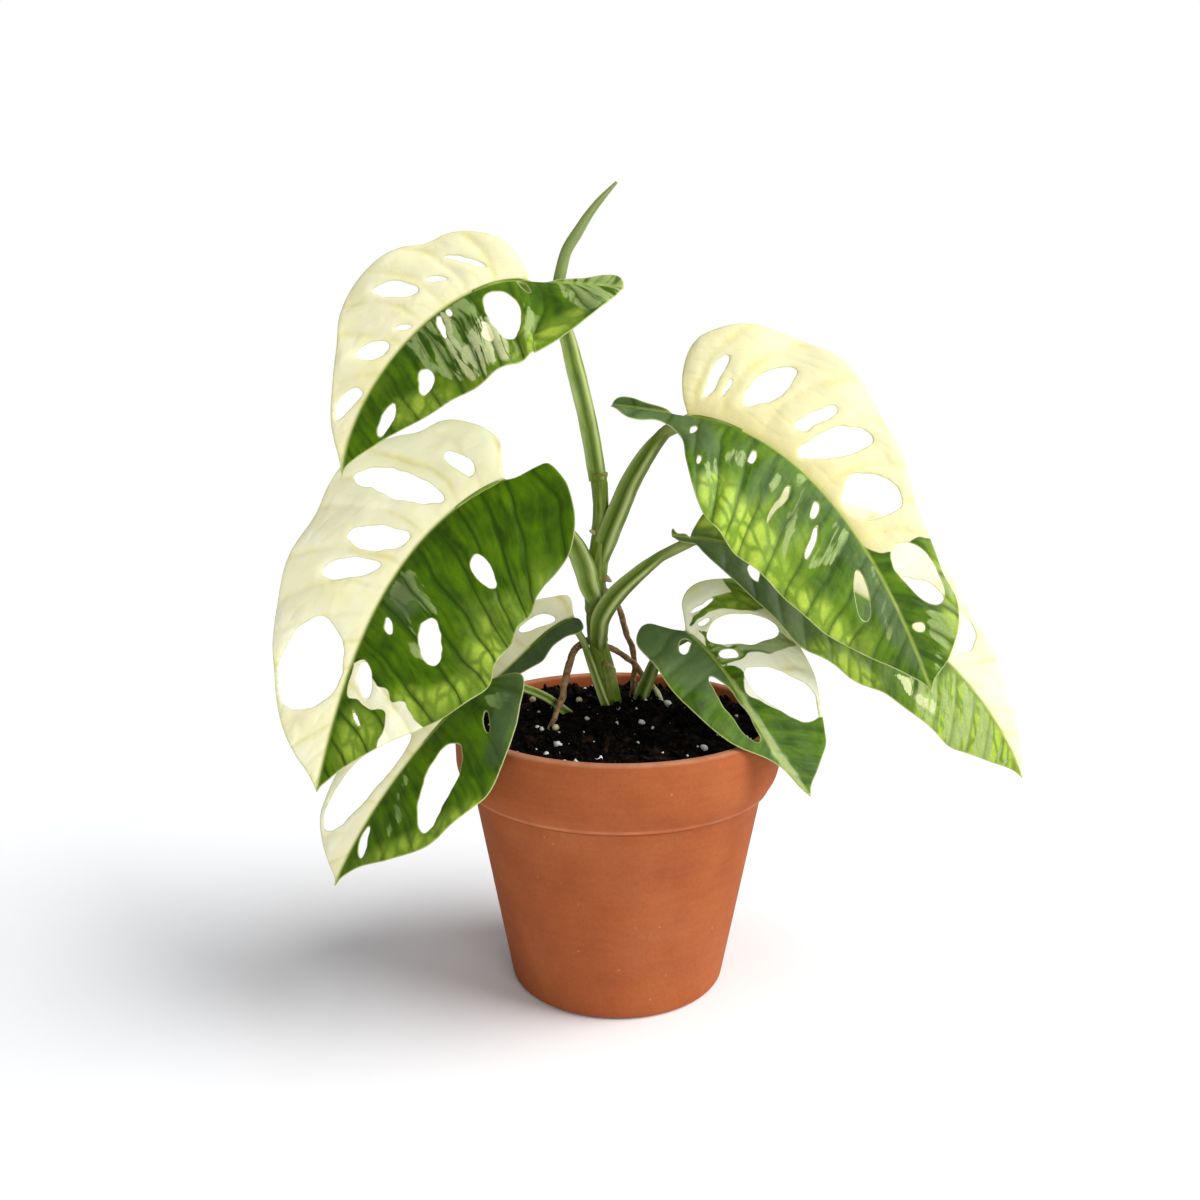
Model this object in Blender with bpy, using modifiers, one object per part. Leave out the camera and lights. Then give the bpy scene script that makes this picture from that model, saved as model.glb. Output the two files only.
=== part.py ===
"""A variegated monstera adansonii growing in a terracotta pot.

Metres, +Z up. The origin is the middle of the pot's foot, on the surface it
stands on. The tables below give sizes in millimetres, and MM turns them into
metres.
"""

import math
import random

import bmesh
import bpy
import numpy as np
from mathutils import Vector

MM = 0.001
GAP = 0.3  # mm between pieces that touch on the real plant

# Pot: outer radii and heights, wall and drain holes, in mm
POT_HEIGHT = 112.5
RIM_RADIUS = 66.7
RIM_BAND = 27.3
NECK_RADIUS = 60.0
FOOT_RADIUS = 44.5
WALL = 5.0
FLOOR = 7.0
DRAIN_RADIUS = 4.5
DRAIN_CIRCLE = 20.0
DRAIN_COUNT = 3
DRAIN_TURN = 30.0
TURN_STEPS = 48

# Soil: a low dome filling the pot, with lumps and fused perlite
SOIL_EDGE_HEIGHT = POT_HEIGHT - 5.0
SOIL_DOME = 6.0
SOIL_RINGS = 8
SOIL_LUMP = 0.7
SOIL_EDGE_INSET = 8.4
PERLITE_COUNT = 22
PERLITE_RADIUS = (1.3, 2.4)
PERLITE_REACH = 50.0
PERLITE_SEED = 7
GOLDEN_ANGLE = math.pi * (3 - math.sqrt(5))

# Leaves: blade thickness, cell of the net that bends, waves of the edge
BLADE_THICK = 0.8
BLADE_CELL = 11.0
NET_REACH = 21 * BLADE_CELL
OUTLINE_STEP = 6.0
WAVE_HEIGHT = 1.3
WAVE_LENGTH = 31.0
LOBE_STATION = -25.0
TIP_REACH = 1.5
CURL_SPAN = 40.0
STALK_STEP = 6.0
ROOT_STEP = 4.0

# Heights in the two tables below are from this level, just above the rim
CROWN_LEVEL = 115.0

# Each leaf: midrib as four Bezier points, the way the upper face looks, fold
# of each half in degrees at the lobe, base, middle and tip, and how far each
# half curls over CURL_SPAN. Outlines are (along, across) from the base of the
# midrib, and holes (along, across, length, width, turn towards the tip).
LEAVES = {
    "blade_top_left": {
        "midrib": ((-34, -8, 169), (-67, -14, 171), (-100, -28, 127), (-100, -42, 99)),
        "faces": (-0.22, -0.85, 0.5),
        "pale_side": 1,
        "pale_fold": (6, 8, 6, 4),
        "green_fold": (38, 20, 10, 4),
        "pale_curl": -12,
        "green_curl": -10,
        "pale": [(3, 10), (8, 19), (15, 26), (20, 29), (26, 29.5), (32, 34), (40, 35.5),
                 (50, 35), (58, 31), (68, 22), (80, 15), (91, 9.5), (102, 3), (107.5, 0.8)],
        "green": [(-6, 0.2), (-12, -1.4), (-21, -2.5), (-28, -4.3), (-34, -4.6),
                  (-36.5, -1.5), (-35, 4), (-29, 15.5), (-23, 24), (-12, 33), (6, 41),
                  (24, 43), (40, 41), (56, 37), (72, 31), (84, 23), (97, 12), (103.5, 5),
                  (107.5, 1)],
        "pale_holes": [(19, 14, 16, 2.2, 39), (30, 12, 9, 2.5, 50), (42, 19, 17, 6, 33),
                       (50, 5, 6, 2.4, 38), (63, 8.5, 13, 7, 40), (84, 6.5, 13, 7, 70)],
        "green_holes": [(2, 4.5, 8, 2.7, -33), (16, 19, 28, 16.5, 15), (34.5, 4, 5, 2.2, 15),
                        (41, 7.5, 13, 2.5, 26), (64, 19, 12, 7, 57), (86, 12.5, 16, 4.4, 92)],
    },
    "blade_mid_left": {
        "midrib": ((-44, -14, 95), (-91, -12, 74), (-107, -24, 21), (-112, -52, -16)),
        "faces": (-0.28, -0.9, 0.35),
        "pale_side": 1,
        "pale_fold": (6, 8, 8, 5),
        "green_fold": (6, 6, 6, 4),
        "pale_curl": -12,
        "green_curl": -12,
        "pale": [(-2, 8), (-4, 14), (-2, 19), (3, 26), (10, 32.5), (18, 35), (25, 41),
                 (34, 45.5), (46, 47), (57, 44.5), (70, 43.5), (83, 41), (94, 36),
                 (104, 30.5), (114, 26), (123, 20), (132, 12), (138, 5.5), (143, 1.5)],
        "green": [(-5, 1.5), (-13, 0.8), (-18, 1.5), (-21, 8), (-22, 15), (-20, 27),
                  (-14, 37), (-5, 43), (6, 48), (20, 51.5), (40, 54), (60, 54.5), (80, 55),
                  (92, 52), (104, 46), (114, 36), (122, 26), (131, 15), (136, 8.5), (141, 3.5),
                  (143, 1.3)],
        "pale_holes": [(11.7, 14, 15, 5.3, 18), (32, 22, 36, 9.5, 23), (49.5, 15, 26, 8.5, 27),
                       (63.3, 17.5, 22, 7.4, 29), (99.5, 16.2, 35, 25, 86)],
        "green_holes": [(29.5, 28, 17, 9, 19), (74.5, 27.5, 22, 9.5, 64), (75.5, 9, 7, 3.4, 48),
                        (99.7, 8, 16, 6.3, 59), (115.4, 9.5, 8, 1.4, 55)],
    },
    "blade_low_left_rear": {
        "midrib": ((-18, 9, 36), (-36, 7, 30), (-47, 5, 6), (-68, 2, 2)),
        "faces": (-0.15, -0.75, 0.7),
        "pale_side": 1,
        "pale_fold": (0, 0, 0, 0),
        "green_fold": (25, 25, 20, 10),
        "pale_curl": -8,
        "green_curl": -10,
        "pale": [(-1, 10), (6, 14), (15, 19), (25, 26), (37, 31), (48, 30), (56, 21),
                 (60, 10)],
        "green": [(-2, 4), (-2, 10), (1, 12.5), (7, 10.5), (14, 10), (21, 12), (27, 10),
                  (35, 7), (43, 5), (52, 4), (58, 2)],
        "pale_holes": [(14, 6.5, 15, 6, 66), (43, 20, 11, 8, 40)],
        "green_holes": [],
    },
    "blade_low_left_front": {
        "midrib": ((-61, -25, 10), (-79, -37, -7), (-96, -48, -28), (-106, -55, -52)),
        "faces": (-0.42, -0.75, 0.5),
        "pale_side": 1,
        "pale_fold": (5, 8, 6, 4),
        "green_fold": (12, 14, 11, 6),
        "pale_curl": -8,
        "green_curl": -6,
        "pale": [(-2, 4), (3, 9), (11, 13), (20, 17), (30, 20.5), (40, 23), (50, 24),
                 (58, 22.5), (65, 20), (72, 14), (78, 6.5), (81.3, 1.6)],
        "green": [(-6, 1), (-12, 3), (-18, 8), (-21.5, 13.5), (-19, 19), (-11, 25),
                  (-2, 32), (8, 38), (20, 41), (30, 40.5), (42, 36.5), (54, 30.5), (65, 19),
                  (73, 8), (79, 2.5), (81.3, 1)],
        "pale_holes": [(46, 11.8, 44, 15, 81)],
        "green_holes": [(1.5, 19, 10.5, 2.6, 37), (31, 20.3, 37, 14, 67),
                        (64.5, 3.9, 11, 4.2, 74)],
    },
    "blade_right_upper": {
        "midrib": ((26, -10, 119), (75, -18, 113), (102, -29, 59), (116, -42, 19)),
        "faces": (0.15, -0.87, 0.45),
        "pale_side": -1,
        "pale_fold": (5, 8, 6, 4),
        "green_fold": (60, 34, 12, 4),
        "pale_curl": -12,
        "green_curl": -10,
        "pale": [(-3, 8), (-4.5, 18), (-3, 29), (3, 37), (12, 44), (22, 47.5), (35, 48.5),
                 (48, 45), (60, 39.5), (72, 33.5), (84, 28.5), (98, 25), (108, 23.5),
                 (118, 24.3), (127, 20.2), (136.6, 11.3), (140, 6), (142.6, 2.4)],
        "green": [(-5, 0.2), (-8.8, -1.6), (-16.8, -2.9), (-22, -4.1), (-27, -3.7),
                  (-29.3, -0.5), (-28.5, 6), (-25.3, 15), (-21, 19.8), (-16.4, 17.2),
                  (-11, 10.5), (-5.7, 11.1), (-1.3, 14.9), (1.5, 19.1), (5, 29), (12, 40),
                  (22, 46.5), (34, 49.5), (47, 49), (62, 46.5), (78, 42), (94, 38),
                  (107, 33), (117, 26), (125.6, 18.9), (132.5, 11.6), (138, 6), (141.7, 2.5),
                  (144, 1)],
        "pale_holes": [(6.5, 18, 20, 3.8, 11), (11.5, 14, 9.5, 1.4, 10),
                       (23, 21.5, 27, 8.7, 22), (41, 20.5, 19.5, 4.4, 20),
                       (51, 18, 29.5, 11, 23), (72.5, 14, 24, 16.5, 36),
                       (104, 14.2, 27, 13.5, 80), (122, 5.2, 4.6, 3.4, 44)],
        "green_holes": [(4, 10, 5.8, 2.4, -8), (11.5, 27, 4, 2.1, 6), (31, 11, 7, 3.2, 0),
                        (52, 20, 18.5, 2.7, 10), (64, 9, 7, 3.5, 18),
                        (73, 18.5, 15.5, 2.7, 33), (102.5, 11.5, 19, 6.2, 71)],
    },
    "blade_right_lower": {
        "midrib": ((29, 2, 70), (83, 6, 63), (145, 2, 27), (164, -10, -26)),
        "faces": (0.15, -0.82, 0.55),
        "pale_side": -1,
        "pale_fold": (5, 8, 6, 4),
        "green_fold": (40, 24, 12, 4),
        "pale_curl": -8,
        "green_curl": -8,
        "pale": [(1, 4), (7, 15), (19, 25), (35, 31), (51, 34.5), (69, 36.5), (85, 35.5),
                 (98, 32), (107, 27), (118, 22.5), (131, 18), (145, 12.5), (158, 7),
                 (168, 3), (172.5, 1)],
        "green": [(-2, -1.3), (-5.6, -1.1), (-7.6, -3.4), (-7.6, 0), (-5, 3.5),
                  (-1.7, 4), (2, 4.2), (4.8, 8), (8.6, 12.2), (16, 18), (25, 24), (35, 30),
                  (45, 35), (55, 38), (70, 38), (89, 37), (103, 33.5), (118, 30.5),
                  (133, 28), (145, 25.5), (152.8, 20.3), (162.9, 11.7), (169.2, 4.8),
                  (173, 1.5)],
        "pale_holes": [(46, 16.5, 28, 10, -5), (95, 17, 17, 9.5, 77), (118, 14, 15, 7.5, -28)],
        "green_holes": [(27, 12.5, 9, 4, 16)],
    },
    "blade_right_front": {
        "midrib": ((26, -16, 36), (46, -29, 23), (52, -42, -2), (70, -53, -18)),
        "faces": (0.25, -0.66, 0.7),
        "pale_side": -1,
        "pale_fold": (5, 6, 6, 4),
        "green_fold": (5, 6, 6, 4),
        "pale_curl": -8,
        "green_curl": -8,
        "pale": [(-5, 5), (-10, 10), (-12.5, 17), (-11.5, 25), (-6, 34), (1, 40), (9, 41.5),
                 (18, 39.5), (28, 36), (43, 32), (55, 27.5), (63, 23.5), (67.6, 20.4),
                 (71.3, 15.2), (74.7, 9.5), (77.7, 3)],
        "green": [(-3, 3.5), (-7, 6), (-11.5, 9), (-12, 14), (-8, 20.5), (0, 23), (12, 25),
                  (22, 25), (34, 22.5), (44, 18.5), (52, 13), (60, 5), (67, 1.2), (75, 0.6)],
        "pale_holes": [(-3, 15, 13, 1.5, 6), (2, 8.5, 6, 2.6, 8), (12.5, 18.5, 31, 12, 17),
                       (18, 6.2, 8, 4, 24), (40.5, 17.5, 33, 17, 60)],
        "green_holes": [(6, 7, 8, 4.3, 28), (38, 5.7, 30, 8, 94)],
    },
}

# Stalks: radii along a smooth path from the foot, in mm. A path that names a
# leaf ends just under the base of that leaf's blade. Those with a deep foot
# stand in plain holes in the soil, and those with a host start inside it and
# are cut back to its skin.
STALKS = {
    "stem": {
        "path": [(0, 15, -17), (-2, 13, -4), (-5, 11, 12), (-8, 9, 25), (-9, 8, 39),
                 (-9, 7, 50), (-8, 6, 60), (-7, 6, 72), (-7, 6, 84), (-8, 6, 95.3)],
        "radii": [4.4, 4.4, 4.1, 3.9, 4.2, 4.5, 4.3, 3.7, 3.1, 3.6],
        "deep": True,
    },
    "petiole_top_left": {
        "path": [(-8.1, 6, 96.2), (-11, 6, 110), (-14, 6, 124), (-17, 5, 136), (-20, 4, 148),
                 (-24, 2, 158)],
        "radii": [3.7, 3.6, 3.6, 3.6, 3.6, 3.2, 2.6],
        "leaf": "blade_top_left",
    },
    "petiole_mid_left": {
        "path": [(-9, 7, 43), (-11.5, 2.5, 50), (-13.5, 0, 58), (-18, -1.5, 68),
                 (-25, -4, 77), (-34, -7, 85)],
        "radii": [3.2, 4.0, 4.4, 4.2, 3.2, 2.7, 2.3],
        "leaf": "blade_mid_left",
        "host": "stem",
    },
    "petiole_low_left_rear": {
        "path": [(-3, 4, -16), (-4, 4, -4), (-7, 4, 5), (-11, 5, 17), (-14, 7, 26)],
        "radii": [2.0, 2.0, 1.8, 1.7, 1.6, 1.4],
        "leaf": "blade_low_left_rear",
        "deep": True,
    },
    "petiole_low_left_front": {
        "path": [(-9, 4, -15), (-16, 1, -7), (-24, -3, 1), (-29, -7, 6), (-37, -12, 11),
                 (-45, -16, 14), (-53, -19, 13)],
        "radii": [2.2, 2.2, 2.0, 1.8, 1.8, 1.7, 1.6, 1.4],
        "leaf": "blade_low_left_front",
        "deep": True,
    },
    "petiole_right_upper": {
        "path": [(-7, 6, 60), (-4, 4, 70), (0, 3, 80), (5, 2, 92), (12, 0, 104),
                 (18, -3, 112)],
        "radii": [3.2, 4.2, 4.2, 4.0, 3.7, 3.2, 2.5],
        "leaf": "blade_right_upper",
        "host": "stem",
    },
    "petiole_right_lower": {
        "path": [(-7.5, 8, 24), (-7.5, 2.5, 31), (-6.5, -0.5, 38), (-1, 0, 46.5),
                 (8, 1, 55), (17, 3, 62)],
        "radii": [3.0, 3.4, 3.8, 3.8, 3.3, 2.8, 2.2],
        "leaf": "blade_right_lower",
        "host": "stem",
    },
    "petiole_right_front": {
        "path": [(11, 19, -15), (10, 16, -2), (13, 13, 8), (16, 8, 17), (20, 1, 25)],
        "radii": [3.2, 3.2, 3.0, 2.7, 2.4, 2.0],
        "leaf": "blade_right_front",
        "deep": True,
    },
    "new_leaf_spear": {
        "path": [(-20, 4, 148), (-23, 7, 157), (-23.5, 6, 167), (-22, 4, 175), (-20, 2, 181),
                 (-16, 1, 187), (-12, 0, 193), (-7, -1, 199), (-1, -2, 205)],
        "radii": [2.0, 2.4, 2.4, 2.2, 2.0, 2.0, 1.6, 1.2, 0.5],
        "host": "petiole_top_left",
    },
    "aerial_root_back": {
        "path": [(-8, 9, 50), (-4, 13.5, 45), (0, 16, 39), (3, 18, 28), (6, 21, 18),
                 (7, 23, 7), (6, 24, -6), (6, 24, -12)],
        "radii": [1.2, 1.3, 1.2, 1.1],
        "host": "stem",
        "deep": True,
    },
    "aerial_root_right": {
        "path": [(-7, 10, 24), (0, 13, 20), (5, 15.5, 16), (11, 18.5, 9), (15, 19, 3),
                 (18, 15, -2), (20, 10, -8), (20.5, 8, -12)],
        "radii": [1.3, 1.3, 1.1, 1.0],
        "host": "stem",
        "deep": True,
    },
    "aerial_root_left": {
        "path": [(-8, 10, 27), (-14, 11.5, 24), (-19, 8, 20), (-21.5, 0, 13),
                 (-23, -8, 6), (-26, -14, 0), (-28, -18, -7), (-29, -20, -12)],
        "radii": [1.5, 1.6, 1.5, 1.1, 0.9],
        "host": "stem",
        "deep": True,
    },
}


def clear_scene():
    """Remove every object that the file starts with."""
    for obj in list(bpy.data.objects):
        bpy.data.objects.remove(obj, do_unlink=True)


def srgb(code):
    """A hex colour such as 'a85a33' as linear red, green, blue and alpha."""
    parts = [int(code[i:i + 2], 16) / 255 for i in (0, 2, 4)]
    linear = [c / 12.92 if c <= 0.04045 else ((c + 0.055) / 1.055) ** 2.4 for c in parts]
    return (*linear, 1.0)


def material(name, code, roughness):
    """A plain Principled material of one colour."""
    made = bpy.data.materials.new(name)
    made.use_nodes = True
    shader = made.node_tree.nodes["Principled BSDF"]
    shader.inputs["Base Color"].default_value = srgb(code)
    shader.inputs["Roughness"].default_value = roughness
    shader.inputs["Metallic"].default_value = 0.0
    return made


def collection(name):
    """A collection in the scene."""
    made = bpy.data.collections.new(name)
    bpy.context.scene.collection.children.link(made)
    return made


def link(name, mesh, where):
    """A new object of this mesh in a collection."""
    obj = bpy.data.objects.new(name, mesh)
    where.objects.link(obj)
    return obj


def hide_as_cutter(obj):
    """Mark an object as a cutter, which no render shows."""
    obj.hide_render = True
    obj.display_type = "WIRE"


def as_mesh(obj, name, where):
    """The evaluated mesh of an object as a new object, with loose caps welded."""
    bpy.context.view_layer.update()
    graph = bpy.context.evaluated_depsgraph_get()
    mesh = bpy.data.meshes.new_from_object(obj.evaluated_get(graph), depsgraph=graph)
    made = link(name, mesh, where)
    made.matrix_world = obj.matrix_world.copy()
    work = bmesh.new()
    work.from_mesh(mesh)
    bmesh.ops.remove_doubles(work, verts=work.verts, dist=0.00001)
    bmesh.ops.recalc_face_normals(work, faces=work.faces)
    work.to_mesh(mesh)
    work.free()
    bpy.data.objects.remove(obj, do_unlink=True)
    return made


def cut(obj, cutter):
    """Take a cutter out of an object."""
    tool = obj.modifiers.new(f"cut {cutter.name}", "BOOLEAN")
    tool.operation = "DIFFERENCE"
    tool.solver = "EXACT"
    tool.object = cutter


def turned(name, profile, where, look):
    """A profile of (radius, height) in mm, outer side downwards, turned round Z."""
    mesh = bpy.data.meshes.new(name)
    points = [(r * MM, 0.0, z * MM) for r, z in profile]
    edges = [(i, i + 1) for i in range(len(points) - 1)]
    mesh.from_pydata(points, edges, [])
    obj = link(name, mesh, where)
    screw = obj.modifiers.new("turn", "SCREW")
    screw.steps = TURN_STEPS
    screw.render_steps = TURN_STEPS
    screw.use_merge_vertices = True
    screw.merge_threshold = 0.00001
    mesh.materials.append(look)
    return obj


def smooth(points, per_span):
    """Catmull-Rom points through the given ones, ends kept."""
    points = np.array(points, float)
    ends = (2 * points[0] - points[1], 2 * points[-1] - points[-2])
    chain = np.vstack([ends[0], points, ends[1]])
    spans = []
    for i in range(1, len(chain) - 2):
        a, b, c, d = chain[i - 1:i + 3]
        t = np.linspace(0, 1, per_span, endpoint=False)[:, None]
        spans.append(0.5 * (2 * b + (c - a) * t + (2 * a - 5 * b + 4 * c - d) * t ** 2
                            + (3 * b - a - 3 * c + d) * t ** 3))
    return np.vstack([*spans, points[-1:]])


def evenly(points, step):
    """The same line with points about one step apart."""
    gaps = np.linalg.norm(np.diff(points, axis=0), axis=1)
    run = np.concatenate([[0], np.cumsum(gaps)])
    count = max(2, round(run[-1] / step) + 1)
    where = np.linspace(0, run[-1], count)
    return np.column_stack([np.interp(where, run, axis) for axis in points.T])


def tube(name, path, radii, step, where, look, grow=0.0):
    """A round stalk along a smooth path in mm, tapering through the radii."""
    line = evenly(smooth(path, 8), step)
    share = np.linspace(0, 1, len(line))
    width = np.interp(share, np.linspace(0, 1, len(radii)), radii) + grow
    data = bpy.data.curves.new(name, "CURVE")
    data.dimensions = "3D"
    data.bevel_depth = MM
    data.bevel_resolution = 3
    data.use_fill_caps = True
    spline = data.splines.new("POLY")
    spline.points.add(len(line) - 1)
    for point, place, radius in zip(spline.points, line, width):
        point.co = (*(place * MM), 1.0)
        point.radius = radius
    obj = link(f"{name} path", data, where)
    made = as_mesh(obj, name, where)
    made.data.materials.clear()
    made.data.materials.append(look)
    made.data.shade_smooth()
    return made


# Pot and soil


def pot_profile():
    """The pot's section: from its floor up the inside, over the rim and down the outside."""
    band = POT_HEIGHT - RIM_BAND
    inner = NECK_RADIUS - WALL
    return [
        (0.0, FLOOR), (FOOT_RADIUS - WALL - 3, FLOOR), (FOOT_RADIUS - WALL, FLOOR + 4),
        (inner - 0.5, band - 2), (inner + 0.5, band + 4), (RIM_RADIUS - 6.5, POT_HEIGHT - 2),
        (RIM_RADIUS - 5.2, POT_HEIGHT - 0.3), (RIM_RADIUS - 4.2, POT_HEIGHT),
        (RIM_RADIUS - 2.2, POT_HEIGHT - 0.2), (RIM_RADIUS - 0.7, POT_HEIGHT - 1.5),
        (RIM_RADIUS, POT_HEIGHT - 4), (RIM_RADIUS - 0.4, band + 9),
        (RIM_RADIUS - 1.6, band + 4.5), (RIM_RADIUS - 4.2, band + 0.8),
        (NECK_RADIUS, band - 0.6), (FOOT_RADIUS + 0.6, 2.5), (FOOT_RADIUS - 0.6, 0.6),
        (FOOT_RADIUS - 2.2, 0.0), (0.0, 0.0),
    ]


def make_pot(where, cutters, look):
    """The turned terracotta pot with its drain holes."""
    pot = turned("pot", pot_profile(), where, look)
    for i in range(DRAIN_COUNT):
        turn = math.radians(DRAIN_TURN + 360 * i / DRAIN_COUNT)
        bpy.ops.mesh.primitive_cylinder_add(
            vertices=16, radius=DRAIN_RADIUS * MM, depth=4 * FLOOR * MM,
            location=(DRAIN_CIRCLE * MM * math.cos(turn), DRAIN_CIRCLE * MM * math.sin(turn), 0))
        drain = bpy.context.object
        drain.name = f"drain cutter {i + 1}"
        bpy.context.collection.objects.unlink(drain)
        cutters.objects.link(drain)
        hide_as_cutter(drain)
        cut(pot, drain)
    return pot


def dome(radius):
    """Height in mm of the soil's surface before its lumps."""
    share = np.clip(radius / (RIM_RADIUS - SOIL_EDGE_INSET), 0, 1)
    return SOIL_EDGE_HEIGHT + SOIL_DOME * (1 - share ** 2)


def lumps(x, y):
    """Lumpiness in mm: three crossed waves of unlike lengths."""
    return SOIL_LUMP * (np.sin(x / 4.1 + np.cos(y / 6.3)) + np.sin(y / 3.7 + 0.8 * np.cos(x / 5.2))
                        + 0.6 * np.sin((x - y) / 2.9))


def make_soil(where, look, perlite):
    """The soil: a turned plug with a lumpy domed top and perlite fused in."""
    edge = RIM_RADIUS - SOIL_EDGE_INSET
    band = POT_HEIGHT - RIM_BAND
    inner = NECK_RADIUS - WALL - GAP
    top = [(edge * i / SOIL_RINGS, float(dome(edge * i / SOIL_RINGS)))
           for i in range(SOIL_RINGS + 1)]
    sides = [(inner - 0.2, band + 2), (inner - 1.0, band - 3),
             (FOOT_RADIUS - WALL - GAP - 0.5, FLOOR + GAP + 4.5),
             (FOOT_RADIUS - WALL - GAP - 3.5, FLOOR + GAP), (0.0, FLOOR + GAP)]
    plug = as_mesh(turned("soil blank", top + sides, where, look), "soil", where)
    count = len(plug.data.vertices)
    points = np.empty(count * 3)
    plug.data.vertices.foreach_get("co", points)
    points = points.reshape(-1, 3) / MM
    radius = np.hypot(points[:, 0], points[:, 1])
    on_top = points[:, 2] > SOIL_EDGE_HEIGHT - 1.0
    fade = np.clip((edge - radius) / 6.0, 0, 1) * on_top
    points[:, 2] += fade * lumps(points[:, 0], points[:, 1])
    plug.data.vertices.foreach_set("co", (points * MM).ravel())
    return add_perlite(plug, where, perlite)


def add_perlite(plug, where, look):
    """Perlite crumbs sunk halfway in, joined to the soil as one body."""
    random.seed(PERLITE_SEED)
    crumbs = collection("perlite crumbs")
    for i in range(PERLITE_COUNT):
        reach = PERLITE_REACH * math.sqrt(0.06 + 0.94 * (i + 0.5) / PERLITE_COUNT)
        turn = GOLDEN_ANGLE * i + random.uniform(-0.3, 0.3)
        size = random.uniform(*PERLITE_RADIUS)
        x, y = reach * math.cos(turn), reach * math.sin(turn)
        z = float(dome(reach) + lumps(x, y)) + 0.1 * size
        bpy.ops.mesh.primitive_ico_sphere_add(
            subdivisions=1, radius=size * MM, location=(x * MM, y * MM, z * MM),
            rotation=(random.uniform(0, 3), random.uniform(0, 3), 0))
        crumb = bpy.context.object
        crumb.data.materials.append(look)
        bpy.context.collection.objects.unlink(crumb)
        crumbs.objects.link(crumb)
    join = plug.modifiers.new("fuse perlite", "BOOLEAN")
    join.operation = "UNION"
    join.operand_type = "COLLECTION"
    join.collection = crumbs
    join.solver = "EXACT"
    made = as_mesh(plug, "soil fused", where)
    made.name = "soil"
    for crumb in list(crumbs.objects):
        bpy.data.objects.remove(crumb, do_unlink=True)
    bpy.data.collections.remove(crumbs)
    return made


# Leaf blades


def bezier(points, t):
    """Points of a cubic Bezier at the parameters t."""
    a, b, c, d = (np.array(p, float) for p in points)
    t = t[:, None]
    return (1 - t) ** 3 * a + 3 * (1 - t) ** 2 * t * b + 3 * (1 - t) * t ** 2 * c + t ** 3 * d


def raised(points):
    """Points of the tables at their heights from the ground."""
    return [np.array(p, float) + (0, 0, CROWN_LEVEL) for p in points]


def midrib_frame(leaf, along):
    """Point, direction, upward normal and length of the midrib at distances along it."""
    t = np.linspace(0, 1, 201)
    midrib = raised(leaf["midrib"])
    line = bezier(midrib, t)
    run = np.concatenate([[0], np.cumsum(np.linalg.norm(np.diff(line, axis=0), axis=1))])
    at = np.interp(along, run, t)
    place = bezier(midrib, at)
    ahead = bezier(midrib, np.clip(at + 0.001, 0, 1)) - bezier(midrib, np.clip(at - 0.001, 0, 1))
    ahead /= np.linalg.norm(ahead, axis=1)[:, None]
    faces = np.array(leaf["faces"]) / np.linalg.norm(leaf["faces"])
    upward = faces - (ahead @ faces)[:, None] * ahead
    upward /= np.linalg.norm(upward, axis=1)[:, None]
    past = np.minimum(along, 0) + np.maximum(along - run[-1], 0)
    return place + ahead * past[:, None], ahead, upward, run[-1]


def bent(leaf, along, across):
    """Bend flat blade points round the midrib.

    Each half leaves the midrib at its fold angle and then curls at a steady
    rate, so its section is an arc. Waves grow towards the edge.
    """
    place, ahead, upward, length = midrib_frame(leaf, along)
    sideways = np.cross(ahead, upward)
    stations = (LOBE_STATION, 0, length / 2, length)
    pale = across * leaf["pale_side"] >= 0
    fold = np.where(pale, np.interp(along, stations, leaf["pale_fold"]),
                    np.interp(along, stations, leaf["green_fold"]))
    fold = np.radians(fold)
    curl = np.radians(np.where(pale, leaf["pale_curl"], leaf["green_curl"])) / CURL_SPAN
    width = np.abs(across)
    reach = (np.sin(fold + curl * width) - np.sin(fold)) / curl
    rise = (np.cos(fold) - np.cos(fold + curl * width)) / curl
    wave = np.sin(2 * np.pi * along / WAVE_LENGTH)
    rise = rise + WAVE_HEIGHT * (width / CURL_SPAN) ** 2 * wave
    reach = reach * np.sign(across)
    return place + sideways * reach[:, None] + upward * rise[:, None]


def blade_outline(leaf):
    """The blade's flat outline as (across, along) points, round once."""
    tip = (midrib_frame(leaf, np.zeros(1))[3] + TIP_REACH, 0)
    side = leaf["pale_side"]
    pale = smooth([(0, 0.4), *leaf["pale"], tip], 6)
    green = smooth([(0, 0.4), *leaf["green"], tip], 6)
    pale = evenly(pale, OUTLINE_STEP)
    green = evenly(green, OUTLINE_STEP)[::-1]
    return [(side * w, y) for y, w in pale] + [(-side * w, y) for y, w in green[1:]]


def blade_holes(leaf):
    """The flat outline of each hole, an oval turned on the blade."""
    for half, sign in (("pale_holes", 1), ("green_holes", -1)):
        for along, across, length, width, turn in leaf[half]:
            count = 8 if length < 12 else 12 if length < 24 else 16
            angle = np.arange(count) * 2 * math.pi / count
            lean = math.radians(turn)
            far = 0.5 * length * np.cos(angle)
            wide = 0.5 * width * np.sin(angle)
            y = along + far * math.sin(lean) + wide * math.cos(lean)
            w = across + far * math.cos(lean) - wide * math.sin(lean)
            yield [(leaf["pale_side"] * sign * b, a) for a, b in zip(y, w)]


def flat_blade(name, leaf, where):
    """The blade as a flat filled outline with its holes, in mm."""
    data = bpy.data.curves.new(name, "CURVE")
    data.dimensions = "2D"
    data.fill_mode = "BOTH"
    for loop in [blade_outline(leaf), *blade_holes(leaf)]:
        spline = data.splines.new("POLY")
        spline.points.add(len(loop) - 1)
        for point, (x, y) in zip(spline.points, loop):
            point.co = (x * MM, y * MM, 0, 1)
        spline.use_cyclic_u = True
    return as_mesh(link(f"{name} outline", data, where), name, where)


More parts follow.
